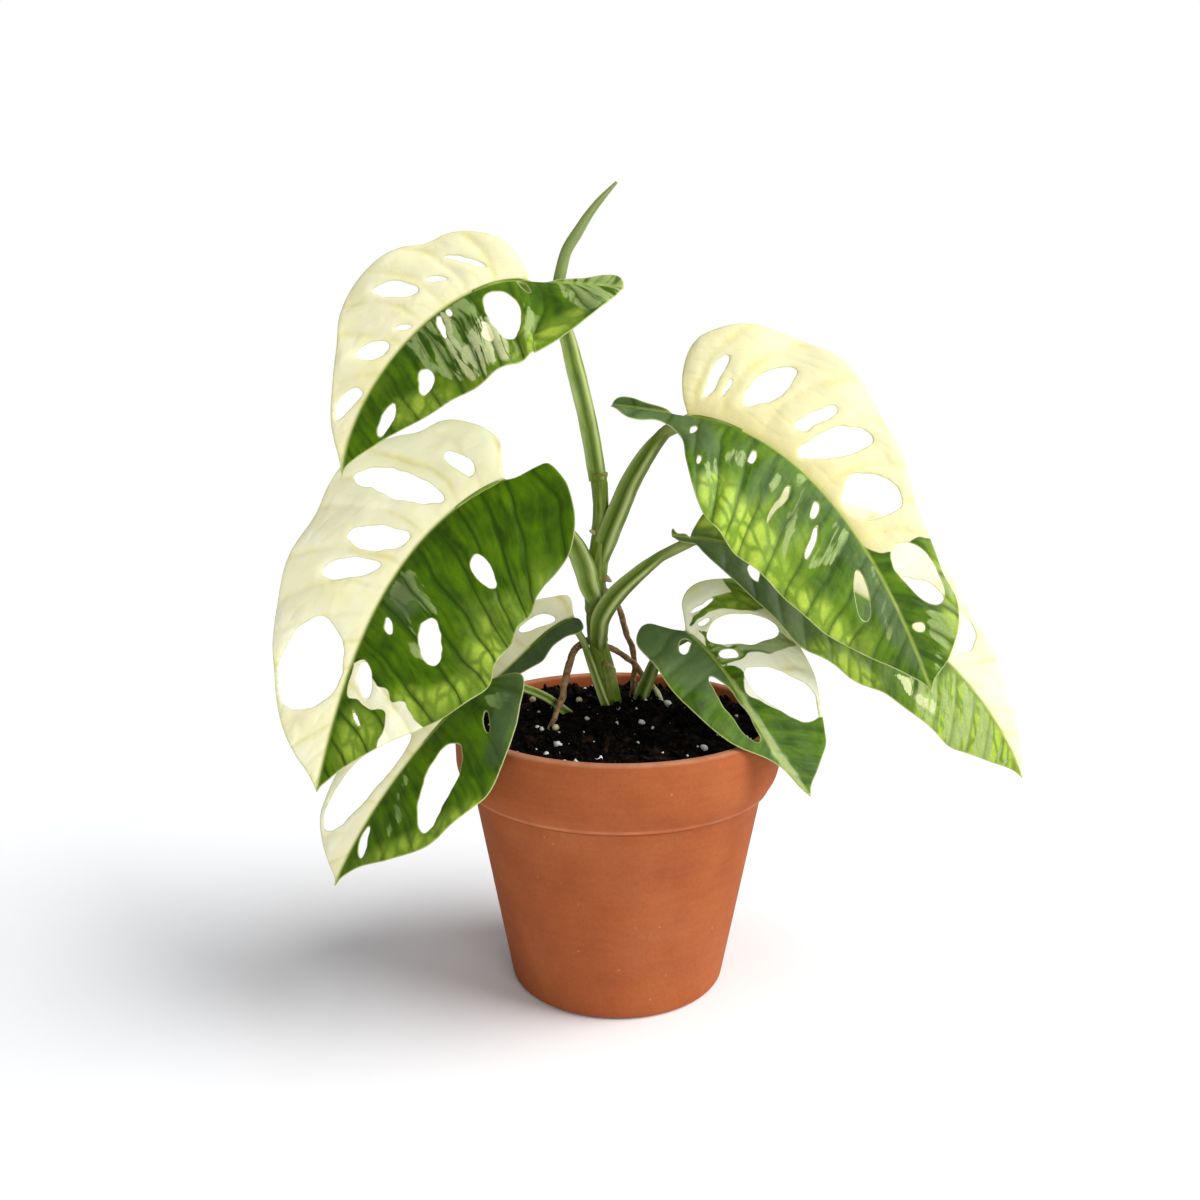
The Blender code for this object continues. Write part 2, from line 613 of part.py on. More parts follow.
def net_cuts(work):
    """Cut the flat blade along a square net, so that it can bend."""
    bmesh.ops.dissolve_limit(work, angle_limit=0.01, verts=work.verts, edges=work.edges)
    steps = np.arange(-NET_REACH, NET_REACH + 1, BLADE_CELL)
    for axis in ((1, 0, 0), (0, 1, 0)):
        for step in steps:
            bmesh.ops.bisect_plane(
                work, geom=[*work.verts, *work.edges, *work.faces], dist=0.00002,
                plane_co=Vector(axis) * float(step) * MM, plane_no=axis)
    bmesh.ops.triangulate(work, faces=work.faces, quad_method="BEAUTY", ngon_method="BEAUTY")


def make_blade(name, leaf, where, pale, green):
    """One leaf blade, bent from its flat outline and then thickened."""
    blade = flat_blade(name, leaf, where)
    work = bmesh.new()
    work.from_mesh(blade.data)
    net_cuts(work)
    flat = np.array([v.co[:2] for v in work.verts]) / MM
    solid = bent(leaf, flat[:, 1], flat[:, 0])
    for face in work.faces:
        face.material_index = int(face.calc_center_median().x * leaf["pale_side"] < 0)
        face.smooth = True
    for vert, place in zip(work.verts, solid):
        vert.co = place * MM
    work.to_mesh(blade.data)
    work.free()
    blade.data.materials.clear()
    blade.data.materials.append(pale)
    blade.data.materials.append(green)
    shell = blade.modifiers.new("thickness", "SOLIDIFY")
    shell.thickness = BLADE_THICK * MM
    shell.offset = 0.0
    return blade


# Stalks and roots


def stalk_path(stalk):
    """The stalk's path, taken on to just under its blade if it carries one.

    The steeper it meets the blade, the less the edge of its end stands up towards it.
    """
    path = raised(stalk["path"])
    if "leaf" in stalk:
        leaf = LEAVES[stalk["leaf"]]
        base, _, upward, _ = midrib_frame(leaf, np.array([2.0]))
        ahead = base[0] - path[-1]
        steep = ahead @ upward[0] / np.linalg.norm(ahead)
        end = stalk["radii"][-1] * (0.3 + 0.7 * np.sqrt(1 - steep**2))
        path.append(base[0] - upward[0] * (BLADE_THICK / 2 + GAP + end))
    return path


def make_stalks(where, cutters, looks):
    """Stem, petioles, spear and roots, each cut clear of the one it grows from."""
    made = {}
    for name, stalk in STALKS.items():
        kind = name.split("_")[0]
        step = ROOT_STEP if kind == "aerial" else STALK_STEP
        made[name] = tube(name, stalk_path(stalk), stalk["radii"], step, where, looks[kind])
    hosts = {stalk["host"] for stalk in STALKS.values() if "host" in stalk}
    for host in sorted(hosts):
        grown = tube(f"{host} cutter", stalk_path(STALKS[host]), STALKS[host]["radii"],
                     STALK_STEP, cutters, looks["stem"], GAP)
        hide_as_cutter(grown)
        for name, stalk in STALKS.items():
            if stalk.get("host") == host:
                cut(made[name], grown)


def cut_soil(soil, cutters, look):
    """Plain holes in the soil for the stalks and roots that stand in it."""
    for name, stalk in STALKS.items():
        if not stalk.get("deep"):
            continue
        path = raised(stalk["path"])
        if "host" in stalk:
            path = path[::-1]
        down = path[0] - path[1]
        path = [path[0] + down / np.linalg.norm(down) * 1.0, *path[:4]]
        radius = max(stalk["radii"]) + 1.5 * GAP
        hole = tube(f"{name} hole", path, [radius, radius], STALK_STEP, cutters, look)
        hide_as_cutter(hole)
        cut(soil, hole)


# Build


def main():
    """Build the plant and its pot."""
    clear_scene()
    plant = collection("monstera adansonii")
    cutters = collection("cutters")
    terracotta = material("terracotta", "a85a33", 0.85)
    earth = material("potting soil", "2a1c14", 0.95)
    perlite = material("perlite", "e8e6dc", 0.9)
    cream = material("cream leaf tissue", "ece6be", 0.45)
    leaf_green = material("green leaf tissue", "4a7d12", 0.4)
    looks = {
        "stem": material("stem skin", "6f8f2e", 0.45),
        "petiole": material("petiole skin", "7d9b3c", 0.45),
        "new": material("rolled young leaf", "8aa648", 0.45),
        "aerial": material("aerial root bark", "8a7a50", 0.8),
    }
    make_pot(plant, cutters, terracotta)
    soil = make_soil(plant, earth, perlite)
    cut_soil(soil, cutters, earth)
    make_stalks(plant, cutters, looks)
    for name, leaf in LEAVES.items():
        make_blade(name, leaf, plant, cream, leaf_green)


main()
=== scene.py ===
"""A variegated monstera adansonii in its terracotta pot: the finish of every surface.

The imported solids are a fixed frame. Each finer piece here stands for the solid of the same
place, and is worked out from the same named sizes. Sizes in the tables are in millimetres,
and MM turns them into metres. Laid out as an add-on, and run as a script.
"""

import math

import bpy
import numpy as np
from bpy.props import FloatProperty, FloatVectorProperty, IntProperty, PointerProperty
from bpy.types import Operator, Panel, PropertyGroup
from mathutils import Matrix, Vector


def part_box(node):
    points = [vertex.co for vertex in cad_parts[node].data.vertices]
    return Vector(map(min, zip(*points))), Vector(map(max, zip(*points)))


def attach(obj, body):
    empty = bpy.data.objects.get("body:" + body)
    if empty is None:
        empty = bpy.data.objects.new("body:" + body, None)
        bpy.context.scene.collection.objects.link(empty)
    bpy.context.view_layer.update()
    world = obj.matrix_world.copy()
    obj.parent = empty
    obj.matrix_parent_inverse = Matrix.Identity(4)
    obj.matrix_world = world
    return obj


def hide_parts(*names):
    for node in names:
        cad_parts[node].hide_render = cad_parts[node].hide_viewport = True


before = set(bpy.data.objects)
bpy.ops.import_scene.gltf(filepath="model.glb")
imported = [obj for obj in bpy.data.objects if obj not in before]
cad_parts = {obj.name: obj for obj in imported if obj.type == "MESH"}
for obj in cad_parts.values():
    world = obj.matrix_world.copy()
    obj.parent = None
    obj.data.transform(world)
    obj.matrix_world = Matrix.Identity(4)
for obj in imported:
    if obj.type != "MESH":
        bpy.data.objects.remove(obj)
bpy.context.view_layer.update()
_, POT_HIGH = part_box("pot")

bl_info = {
    "name": "Variegated monstera in a terracotta pot",
    "version": (1, 0, 0),
    "blender": (4, 5, 0),
    "location": "View3D > Sidebar > Plant",
    "description": "Builds the leaves, stalks, roots, soil and pot of a potted monstera adansonii",
    "category": "Object",
}

MM = 0.001

# Pot, in mm and degrees: as the solid's section, drawn finer. Each corner is turned
# over CORNER_REACH, and inside BASE_REACH the base is a net with the drains cut out.
POT_HEIGHT = POT_HIGH[2] / MM
RIM_RADIUS = POT_HIGH[0] / MM
RIM_BAND = 27.3
NECK_RADIUS = 60.0
FOOT_RADIUS = 44.5
WALL = 5.0
FLOOR = 7.0
DRAIN_RADIUS = 4.5
DRAIN_CIRCLE = 20.0
DRAIN_COUNT = 3
DRAIN_TURN = 30.0
BASE_REACH = 32.0
BASE_RINGS = 48
CORNER_REACH = 1.6
CORNER_STEPS = 5

# Soil, in mm: a dome on the level of its edge, rough on top and plain below, with
# lumps as (size, share of the height, seed)
SOIL_EDGE_HEIGHT = POT_HEIGHT - 5.0
SOIL_DOME = 6.0
SOIL_DEPTH = 22.0
SOIL_FOOT = 54.2
SOIL_EDGE = 59.4
SOIL_RINGS = 100
SOIL_AROUND = 480
SOIL_LUMPS = ((7.3, 1.0, 3), (3.1, 0.55, 4), (1.3, 0.25, 5))

# Loose on the soil, in mm: distance kept from its edge, range of radii, the power
# that they are then raised to, and range of stretch. The seen perlite has its own
# places and radii.
CRUMB_KEEP, CRUMB_SIZES, CRUMB_POWER = 1.2, (0.5, 1.5), 1.3
CRUMB_STRETCH = (0.6, 0.5, 0.7), (1.0, 0.9, 2.6)
PERLITE_KEEP, PERLITE_SIZES, PERLITE_POWER = 3.0, (0.35, 1.0), 1.5
PERLITE_STRETCH = 0.7, 1.25
PERLITE_SEEN = ((-23.3, -36.7), (-8.0, -48.5), (9.4, -15.2), (32.3, -36.7), (21.2, 9.8),
                (12.0, 11.2), (0.1, 1.2), (-20.1, -52.0), (-16.1, -53.0))
PERLITE_SEEN_SIZES = (1.6, 1.3, 1.4, 1.8, 1.7, 1.2, 1.3, 1.2, 1.4)
PRILL_KEEP, PRILL_RADIUS, PRILL_RISE = 6.0, 1.4, 0.8

# Heights in the tables of leaves and stalks are from this level, just above the rim
CROWN_LEVEL = 115.0

# Blade, in mm and degrees. Stations are distances along the midrib. A half curls
# by its angle, and its waves reach their height, CURL_SPAN away from the midrib.
# The wanders are how uneven the margins of holes and of tones are, EDGE_ROUND is
# how far in the blade has its full thickness, VEIN_SINK how wide a vein's furrow
# is, and NUDGE the step over which the surface's slope is taken.
MIDRIB_STEPS, MIDRIB_NUDGE = 201, 0.001
CURL_SPAN = 40.0
WAVE_HEIGHT = 1.3
WAVE_LENGTH = 31.0
LOBE_STATION = -25.0
BASE_STATION = 2.0
TIP_REACH = 1.5
OUTLINE_STEP = 1.2
HOLE_MARGIN = 1.7
HOLE_WANDER = 0.8
PATCH_WANDER = 1.3
EDGE_THICK = 0.16
EDGE_ROUND = 0.9
VEIN_SINK = 2.0
QUILT_START, QUILT_RAMP, QUILT_EDGE, QUILT_MIDDLE = 1.2, 9.0, 2.5, 0.62
PUCKER = 0.35
GROOVE_DEPTH, GROOVE_WIDTH = 0.45, 1.3
RIB_HEIGHT, RIB_WIDTH = 0.75, 1.5
NUDGE = 0.4

# Width over which a patch of each tone fades out, in mm, then how far yellow
# reaches from the midrib, and where lime starts and how soon it is full
TONE_BLURS = {"sage": 5.0, "lime": 9.0, "pale": 4.0, "dusk": 8.0, "fair": 1.6}
YELLOW_REACH = 11.0
LIME_START, LIME_REACH = 22.0, 30.0

# Lateral veins: lean from square to the midrib, in degrees, by share of its
# length, then their bow per mm, in mm how far they wander, how far out that is
# full and how near two of them merge, how many are added before and past those
# between the holes, and how often the search for a vein's start is repeated
VEIN_SHARES = (-0.3, -0.12, 0.0, 0.3, 0.5, 0.75, 1.0)
VEIN_LEANS = (-42, -25, -6, 3, 14, 34, 55)
VEIN_BOW = 0.0075
VEIN_WANDER = 1.7
VEIN_WANDER_FULL = 12.0
VEIN_MERGE = 6.0
VEINS_BEFORE, VEINS_PAST = 9, 13
VEIN_ROUNDS = 14

# Stalks, in mm: ring spacing, where a petiole runs on under its blade, its
# thickness and depth there as shares, the sides that a petiole's channel and the
# other stalks' first points face, the stem's scars as (height, tilt), and roots
# that have only begun as (name, start, end, radius)
STALK_RING = 0.8
UNDER_BLADE = (BASE_STATION, 6.0, 11.0, 16.0, 22.0)
UNDER_THICK, UNDER_DEEP = (0.92, 0.3), (0.95, 0.5)
CHANNEL_SIDE = (-0.3, -1.0, 0.6)
STEM_SIDE = (0.0, -1.0, 0.0)
STEM_SCARS = ((94.5, 0.4), (73.0, -0.8), (52.5, 1.0), (40.0, -0.9), (26.0, 1.2), (11.5, -0.6))
SCAR_RISE, SCAR_WIDTH = 0.3, 0.9
DIP_BELOW, DIP_DEPTH, DIP_WIDTH = 2.0, 0.25, 1.1
STEM_FOLDS = 0.05
YOUNG_ROOT = "aerial_root_right"
YOUNG_ROOT_RUN = 30.0
ROOT_WANDER, ROOT_KNOBS = 0.8, 0.16
NUB_AROUND, NUB_RINGS, NUB_KNOBS = 20, 12, 0.1
ROOT_NUBS = (("root_nub_upper", (-8, 5, 71), (-11.6, 2.6, 72.6), 1.3),
             ("root_nub_middle", (-6, 5, 53.5), (-2.6, 2.4, 51.8), 1.4),
             ("root_nub_lower", (-5.5, 6, 17), (-1.2, 3.2, 15.6), 1.1))

# A petiole's section: angles from the middle of its channel, in radians, and
# heights by share of its radius. Its channel stops and its knee lies so far
# before its end, in mm.
CHANNEL_WIDTH, CHANNEL_DEPTH = 0.42, 0.34
CHANNEL_STOP, CHANNEL_FADE, CHANNEL_FOOT = 34.0, 10.0, 6.0
WING_PLACE, WING_WIDTH, WING_HEIGHT = 0.78, 0.26, 0.17
KNEE_PLACE, KNEE_WIDTH, KNEE_HEIGHT = 27.0, 5.5, 0.07
PETIOLE_RIBS = 0.035

# The rolled leaf: its seam's first angle and the run in mm in which it winds by
# one radian, the radius at the seam's low side, its step and its ribs by share
# of its own, how many ribs go round, and where in the turn its green half starts
SEAM_START, SEAM_WIND, SEAM_WIDTH = 0.9, 38.0, 0.05
ROLL_LOW, ROLL_STEP, ROLL_RIBS, ROLL_COUNT = 0.9, 0.2, 0.04, 5
ROLL_GREEN = 0.42

# Stage, in metres, with the camera's pitch in radians and its sensor and lens in mm
FLOOR_REACH = 6.0
KEY_FROM = (1.0, -0.14, 0.85)
FRONT_FROM, FRONT_AIM, FRONT_SIZE = (0.4, -1.0, 0.2), (0.0, 0.0, 0.15), 0.5
CAMERA_PLACE = (-0.0073, -0.470, 0.255)
CAMERA_PITCH = 0.2
CAMERA_SENSOR = 36.0
CAMERA_LENS = 35.7
CAMERA_CLIP = (0.01, 100.0)

# Heights in the two tables below are from CROWN_LEVEL.
# Each leaf: midrib as four Bezier points, the way the upper face looks, fold
# of each half in degrees at the lobe, base, middle and tip, and how far each
# half curls over CURL_SPAN. Outlines are (along, across) from the base of the
# midrib, and holes (along, across, length, width, turn towards the tip).
# Yellow, tan and veins are how strongly the midrib's yellow, a tan wash of painted
# shade on the cream and the dark vein lines, with painted shade in their grooves,
# show. Patches of another tone are (tone, outline), with the pale half across > 0;
# sage is partly a painted sheen, and dusk is a painted grey sheen and painted shade.
LEAVES = {
    "blade_top_left": {
        "midrib": ((-34, -8, 169), (-67, -14, 171), (-100, -28, 127), (-100, -42, 99)),
        "faces": (-0.22, -0.85, 0.5), "pale_side": 1,
        "pale_fold": (6, 8, 6, 4), "green_fold": (38, 20, 10, 4),
        "pale_curl": -12, "green_curl": -10,
        "pale": [(3, 10), (8, 19), (15, 26), (20, 29), (26, 29.5), (32, 34), (40, 35.5),
                 (50, 35), (58, 31), (68, 22), (80, 15), (91, 9.5), (102, 3), (107.5, 0.8)],
        "green": [(-6, 0.2), (-12, -1.4), (-21, -2.5), (-28, -4.3), (-34, -4.6),
                  (-36.5, -1.5), (-35, 4), (-29, 15.5), (-23, 24), (-12, 33), (6, 41),
                  (24, 43), (40, 41), (56, 37), (72, 31), (84, 23), (97, 12), (103.5, 5),
                  (107.5, 1)],
        "pale_holes": [(19, 14, 16, 2.2, 39), (30, 12, 9, 2.5, 50), (42, 19, 17, 6, 33),
                       (50, 5, 6, 2.4, 38), (63, 8.5, 13, 7, 40), (84, 6.5, 13, 7, 70)],
        "green_holes": [(2, 4.5, 8, 2.7, -33), (16, 19, 28, 16.5, 15), (34.5, 4, 5, 2.2, 15),
                        (41, 7.5, 13, 2.5, 26), (64, 19, 12, 7, 57), (86, 12.5, 16, 4.4, 92)],
        "yellow": 0.2, "tan": 0.4, "veins": 1.1,
        "patches": [
            ("green", [(-1, -1), (-3, 3), (-18, 8), (-44, 10), (-44, -3)]),
            ("cream", [(27, -18), (25, -20), (27, -26), (30, -28), (32, -25)]),
            ("pale", [(25, -15), (21, -19), (25, -30), (32, -32), (37, -27)]),
            ("pale", [(40, -20), (34, -26), (40, -38), (48, -38), (53, -31), (47, -24)]),
            ("pale", [(37, 0), (34, -3), (41, -18), (50, -29), (56, -32), (57, -29), (43, -11)]),
            ("pale", [(24, -12), (30, -16), (46, -24), (50, -34), (30, -40), (22, -34)]),
            ("sage", [(24, -1), (57, -1), (60, -20), (54, -34), (38, -40), (16, -41), (24, -24)]),
            ("sage", [(5, -12), (-3, -22), (-1, -33), (19, -39), (10, -30)]),
            ("sage", [(-9, 4), (-44, 10), (-44, -4), (-34, -16), (-18, -26), (-12, -12)]),
            ("lime", [(-18, -22), (-8, -34), (6, -38), (2, -30)]),
            ("lime", [(77, -14), (70, -22), (64, -29), (70, -30), (80, -25), (86, -17)]),
            ("lime", [(8, -24), (4, -34), (12, -42), (24, -42), (14, -34)]),
        ],
    },
    "blade_mid_left": {
        "midrib": ((-44, -14, 95), (-91, -12, 74), (-107, -24, 21), (-112, -52, -16)),
        "faces": (-0.28, -0.9, 0.35), "pale_side": 1,
        "pale_fold": (6, 8, 8, 5), "green_fold": (6, 6, 6, 4),
        "pale_curl": -12, "green_curl": -12,
        "pale": [(-2, 8), (-4, 14), (-2, 19), (3, 26), (10, 32.5), (18, 35), (25, 41),
                 (34, 45.5), (46, 47), (57, 44.5), (70, 43.5), (83, 41), (94, 36),
                 (104, 30.5), (114, 26), (123, 20), (132, 12), (138, 5.5), (143, 1.5)],
        "green": [(-5, 1.5), (-13, 0.8), (-18, 1.5), (-21, 8), (-22, 15), (-20, 27),
                  (-14, 37), (-5, 43), (6, 48), (20, 51.5), (40, 54), (60, 54.5), (80, 55),
                  (92, 52), (104, 46), (114, 36), (122, 26), (131, 15), (136, 8.5), (141, 3.5),
                  (143, 1.3)],
        "pale_holes": [(11.7, 14, 15, 5.3, 18), (32, 22, 36, 9.5, 23), (49.5, 15, 26, 8.5, 27),
                       (63.3, 17.5, 22, 7.4, 29), (99.5, 16.2, 35, 25, 86)],
        "green_holes": [(29.5, 28, 17, 9, 19), (74.5, 27.5, 22, 9.5, 64), (75.5, 9, 7, 3.4, 48),
                        (99.7, 8, 16, 6.3, 59), (115.4, 9.5, 8, 1.4, 55)],
        "yellow": 0.25, "tan": 0.0, "veins": 1.35,
        "patches": [
            ("cream", [(94, -1), (92, -4), (98, -11), (100, -15), (101, -19), (105, -22),
                       (105, -27), (108, -29), (116, -38), (122, -34), (124, -24), (128, -21),
                       (118, -20), (111, -19), (110, -14), (109, -9), (108, -4), (103, -2)]),
            ("sage", [(67, -3), (55, -1), (51, -6), (54, -16), (59, -24), (65, -20), (64, -13),
                      (76, -23), (86, -31), (85, -24), (74, -13)]),
            ("dusk", [(66, -3), (56, -4), (58, -14), (68, -15), (72, -8)]),
            ("lime", [(101, -22), (96, -35), (84, -47), (100, -46), (111, -36), (114, -30)]),
            ("lime", [(120, -4), (112, -8), (116, -18), (128, -18), (134, -6)]),
            ("lime", [(48, -42), (56, -52), (72, -54), (84, -52), (74, -46)]),
        ],
    },
    "blade_low_left_rear": {
        "midrib": ((-18, 9, 36), (-36, 7, 30), (-47, 5, 6), (-68, 2, 2)),
        "faces": (-0.15, -0.75, 0.7), "pale_side": 1,
        "pale_fold": (0, 0, 0, 0), "green_fold": (25, 25, 20, 10),
        "pale_curl": -8, "green_curl": -10,
        "pale": [(-1, 10), (6, 14), (15, 19), (25, 26), (37, 31), (48, 30), (56, 21),
                 (60, 10)],
        "green": [(-2, 4), (-2, 10), (1, 12.5), (7, 10.5), (14, 10), (21, 12), (27, 10),
                  (35, 7), (43, 5), (52, 4), (58, 2)],
        "pale_holes": [(14, 6.5, 15, 6, 66), (43, 20, 11, 8, 40)],
        "green_holes": [],
        "yellow": 0.1, "tan": 0.0, "veins": 0.3,
        "patches": [
            ("dusk", [(-4, -2), (-4, -14), (12, -14), (40, -9), (40, -2)]),
        ],
    },
    "blade_low_left_front": {
        "midrib": ((-61, -25, 10), (-79, -37, -7), (-96, -48, -28), (-106, -55, -52)),
        "faces": (-0.42, -0.75, 0.5), "pale_side": 1,
        "pale_fold": (5, 8, 6, 4), "green_fold": (12, 14, 11, 6),
        "pale_curl": -8, "green_curl": -6,
        "pale": [(-2, 4), (3, 9), (11, 13), (20, 17), (30, 20.5), (40, 23), (50, 24),
                 (58, 22.5), (65, 20), (72, 14), (78, 6.5), (81.3, 1.6)],
        "green": [(-6, 1), (-12, 3), (-18, 8), (-21.5, 13.5), (-19, 19), (-11, 25),
                  (-2, 32), (8, 38), (20, 41), (30, 40.5), (42, 36.5), (54, 30.5), (65, 19),
                  (73, 8), (79, 2.5), (81.3, 1)],
        "pale_holes": [(46, 11.8, 44, 15, 81)],
        "green_holes": [(1.5, 19, 10.5, 2.6, 37), (31, 20.3, 37, 14, 67),
                        (64.5, 3.9, 11, 4.2, 74)],
        "yellow": 0.2, "tan": 0.0, "veins": 0.6,
        "patches": [
            ("lime", [(73, -7), (62, -23), (50, -33), (32, -40), (32, -37), (47, -28), (60, -17)]),
            ("dusk", [(-22, -8), (-22, -20), (-8, -30), (8, -39), (14, -34), (4, -25), (-6, -14)]),
            ("sage", [(-5, -10), (-12, -12), (-13, -19), (-4, -23), (-2, -16)]),
            ("sage", [(30, -2), (40, -4), (58, -12), (54, -16), (38, -8)]),
        ],
    },
    "blade_right_upper": {
        "midrib": ((26, -10, 119), (75, -18, 113), (102, -29, 59), (116, -42, 19)),
        "faces": (0.15, -0.87, 0.45), "pale_side": -1,
        "pale_fold": (5, 8, 6, 4), "green_fold": (60, 34, 12, 4),
        "pale_curl": -12, "green_curl": -10,
        "pale": [(-3, 8), (-4.5, 18), (-3, 29), (3, 37), (12, 44), (22, 47.5), (35, 48.5),
                 (48, 45), (60, 39.5), (72, 33.5), (84, 28.5), (98, 25), (108, 23.5),
                 (118, 24.3), (127, 20.2), (136.6, 11.3), (140, 6), (142.6, 2.4)],
        "green": [(-5, 0.2), (-8.8, -1.6), (-16.8, -2.9), (-22, -4.1), (-27, -3.7),
                  (-29.3, -0.5), (-28.5, 6), (-25.3, 15), (-21, 19.8), (-16.4, 17.2),
                  (-11, 10.5), (-5.7, 11.1), (-1.3, 14.9), (1.5, 19.1), (5, 29), (12, 40),
                  (22, 46.5), (34, 49.5), (47, 49), (62, 46.5), (78, 42), (94, 38),
                  (107, 33), (117, 26), (125.6, 18.9), (132.5, 11.6), (138, 6), (141.7, 2.5),
                  (144, 1)],
        "pale_holes": [(6.5, 18, 20, 3.8, 11), (11.5, 14, 9.5, 1.4, 10),
                       (23, 21.5, 27, 8.7, 22), (41, 20.5, 19.5, 4.4, 20),
                       (51, 18, 29.5, 11, 23), (72.5, 14, 24, 16.5, 36),
                       (104, 14.2, 27, 13.5, 80), (122, 5.2, 4.6, 3.4, 44)],
        "green_holes": [(4, 10, 5.8, 2.4, -8), (11.5, 27, 4, 2.1, 6), (31, 11, 7, 3.2, 0),
                        (52, 20, 18.5, 2.7, 10), (64, 9, 7, 3.5, 18),
                        (73, 18.5, 15.5, 2.7, 33), (102.5, 11.5, 19, 6.2, 71)],
        "yellow": 1.0, "tan": 0.68, "veins": 1.1,
        "patches": [
            ("green", [(-1, -1), (-3, 2), (-14, 7), (-36, 10), (-36, -3)]),
            ("green", [(83, 0), (89, 3), (93, 8), (94, 20), (97, 28), (111, 32), (126, 30),
                       (146, 12), (150, 0)]),
            ("sage", [(45, -19), (41, -17), (42, -10), (46, -10), (48, -17), (46, -21)]),
            ("sage", [(47, -4), (50, -1), (56, -3), (59, -12), (64, -20), (74, -31), (78, -36),
                      (66, -31), (58, -23), (55, -14)]),
            ("sage", [(12, -28), (25, -10), (31, -17), (24, -28), (18, -36)]),
            ("sage", [(88, 0), (100, -1), (114, -4), (125, -6), (122, -9), (106, -6), (93, -3)]),
            ("sage", [(71, -5), (79, -1), (86, -11), (86, -21), (81, -26), (77, -15)]),
            ("sage", [(98, 18), (112, 26), (130, 18), (140, 4), (120, 8)]),
            ("lime", [(14, -34), (25, -26), (41, -34), (60, -30), (80, -34), (100, -26),
                      (116, -22), (112, -32), (74, -46), (48, -50), (24, -47)]),
            ("lime", [(96, 22), (102, 28), (122, 24), (134, 12), (118, 16)]),
            ("dusk", [(-34, 8), (-34, -8), (-24, -22), (-8, -12), (6, -24), (16, -18), (12, -6),
                      (2, 0), (-14, 7)]),
            ("dusk", [(88, -2), (96, -10), (112, -9), (132, -4), (134, -1)]),
        ],
    },
    "blade_right_lower": {
        "midrib": ((29, 2, 70), (83, 6, 63), (145, 2, 27), (164, -10, -26)),
        "faces": (0.15, -0.82, 0.55), "pale_side": -1,
        "pale_fold": (5, 8, 6, 4), "green_fold": (40, 24, 12, 4),
        "pale_curl": -8, "green_curl": -8,
        "pale": [(1, 4), (7, 15), (19, 25), (35, 31), (51, 34.5), (69, 36.5), (85, 35.5),
                 (98, 32), (107, 27), (118, 22.5), (131, 18), (145, 12.5), (158, 7),
                 (168, 3), (172.5, 1)],
        "green": [(-2, -1.3), (-5.6, -1.1), (-7.6, -3.4), (-7.6, 0), (-5, 3.5),
                  (-1.7, 4), (2, 4.2), (4.8, 8), (8.6, 12.2), (16, 18), (25, 24), (35, 30),
                  (45, 35), (55, 38), (70, 38), (89, 37), (103, 33.5), (118, 30.5),
                  (133, 28), (145, 25.5), (152.8, 20.3), (162.9, 11.7), (169.2, 4.8),
                  (173, 1.5)],
        "pale_holes": [(46, 16.5, 28, 10, -5), (95, 17, 17, 9.5, 77), (118, 14, 15, 7.5, -28)],
        "green_holes": [(27, 12.5, 9, 4, 16)],
        "yellow": 0.15, "tan": 0.25, "veins": 0.6,
        "patches": [
            ("green", [(-12, -2), (-12, 5), (2, 8), (9, 20), (17, 26), (24, 12), (14, -1)]),
            ("lime", [(0, 1), (3, 10), (9, 20), (17, 26), (24, 12), (12, 2)]),
            ("dusk", [(-12, 5), (2, 3), (34, -2), (60, -26), (50, -40), (2, -12), (-12, -4)]),
            ("pale", [(98, -25), (106, -20), (116, -20), (125, -18), (129, -24), (120, -26),
                      (112, -27), (103, -25)]),
            ("lime", [(54, -35), (79, -29), (97, -30), (91, -39), (72, -43), (58, -40)]),
            ("sage", [(110, -1), (108, -20), (126, -30), (156, -22), (170, -5), (150, -1)]),
            ("lime", [(124, 0), (118, -24), (134, -32), (156, -24), (172, -6), (168, 0)]),
        ],
    },
    "blade_right_front": {
        "midrib": ((26, -16, 36), (46, -29, 23), (52, -42, -2), (70, -53, -18)),
        "faces": (0.25, -0.66, 0.7), "pale_side": -1,
        "pale_fold": (5, 6, 6, 4), "green_fold": (5, 6, 6, 4),
        "pale_curl": -8, "green_curl": -8,
        "pale": [(-5, 5), (-10, 10), (-12.5, 17), (-11.5, 25), (-6, 34), (1, 40), (9, 41.5),
                 (18, 39.5), (28, 36), (43, 32), (55, 27.5), (63, 23.5), (67.6, 20.4),
                 (71.3, 15.2), (74.7, 9.5), (77.7, 3)],
        "green": [(-3, 3.5), (-7, 6), (-11.5, 9), (-12, 14), (-8, 20.5), (0, 23), (12, 25),
                  (22, 25), (34, 22.5), (44, 18.5), (52, 13), (60, 5), (67, 1.2), (75, 0.6)],
        "pale_holes": [(-3, 15, 13, 1.5, 6), (2, 8.5, 6, 2.6, 8), (12.5, 18.5, 31, 12, 17),
                       (18, 6.2, 8, 4, 24), (40.5, 17.5, 33, 17, 60)],
        "green_holes": [(6, 7, 8, 4.3, 28), (38, 5.7, 30, 8, 94)],
        "yellow": 0.0, "tan": 0.0, "veins": 0.35,
        "patches": [
            ("green", [(-6, 33), (-2, 38), (9, 42), (14, 38), (8, 26), (2, 15), (0, 9), (1, 2),
                       (0, 2), (-2, 9), (-2, 18), (-1, 25), (0, 28), (-3, 29)]),
            ("lime", [(-8, 32), (-2, 42), (18, 44), (18, 34), (10, 20), (0, 8), (-4, 20)]),
            ("dusk", [(-16, -2), (-16, -16), (-6, -25), (14, -24), (26, -16), (34, -6), (22, -2),
                      (4, -1)]),
            ("sage", [(4, 4), (9, 6), (14, 7), (17, 13), (18, 23), (18, 30), (21, 34), (25, 34),
                      (25, 28), (25, 22), (21, 9), (19, 2), (15, 0)]),
            ("green", [(3, 3), (9, 6), (14, 7), (17, 13), (18, 23), (18, 30), (21, 34), (25, 34),
                       (25, 28), (25, 22), (21, 9), (19, 2), (15, 0)]),
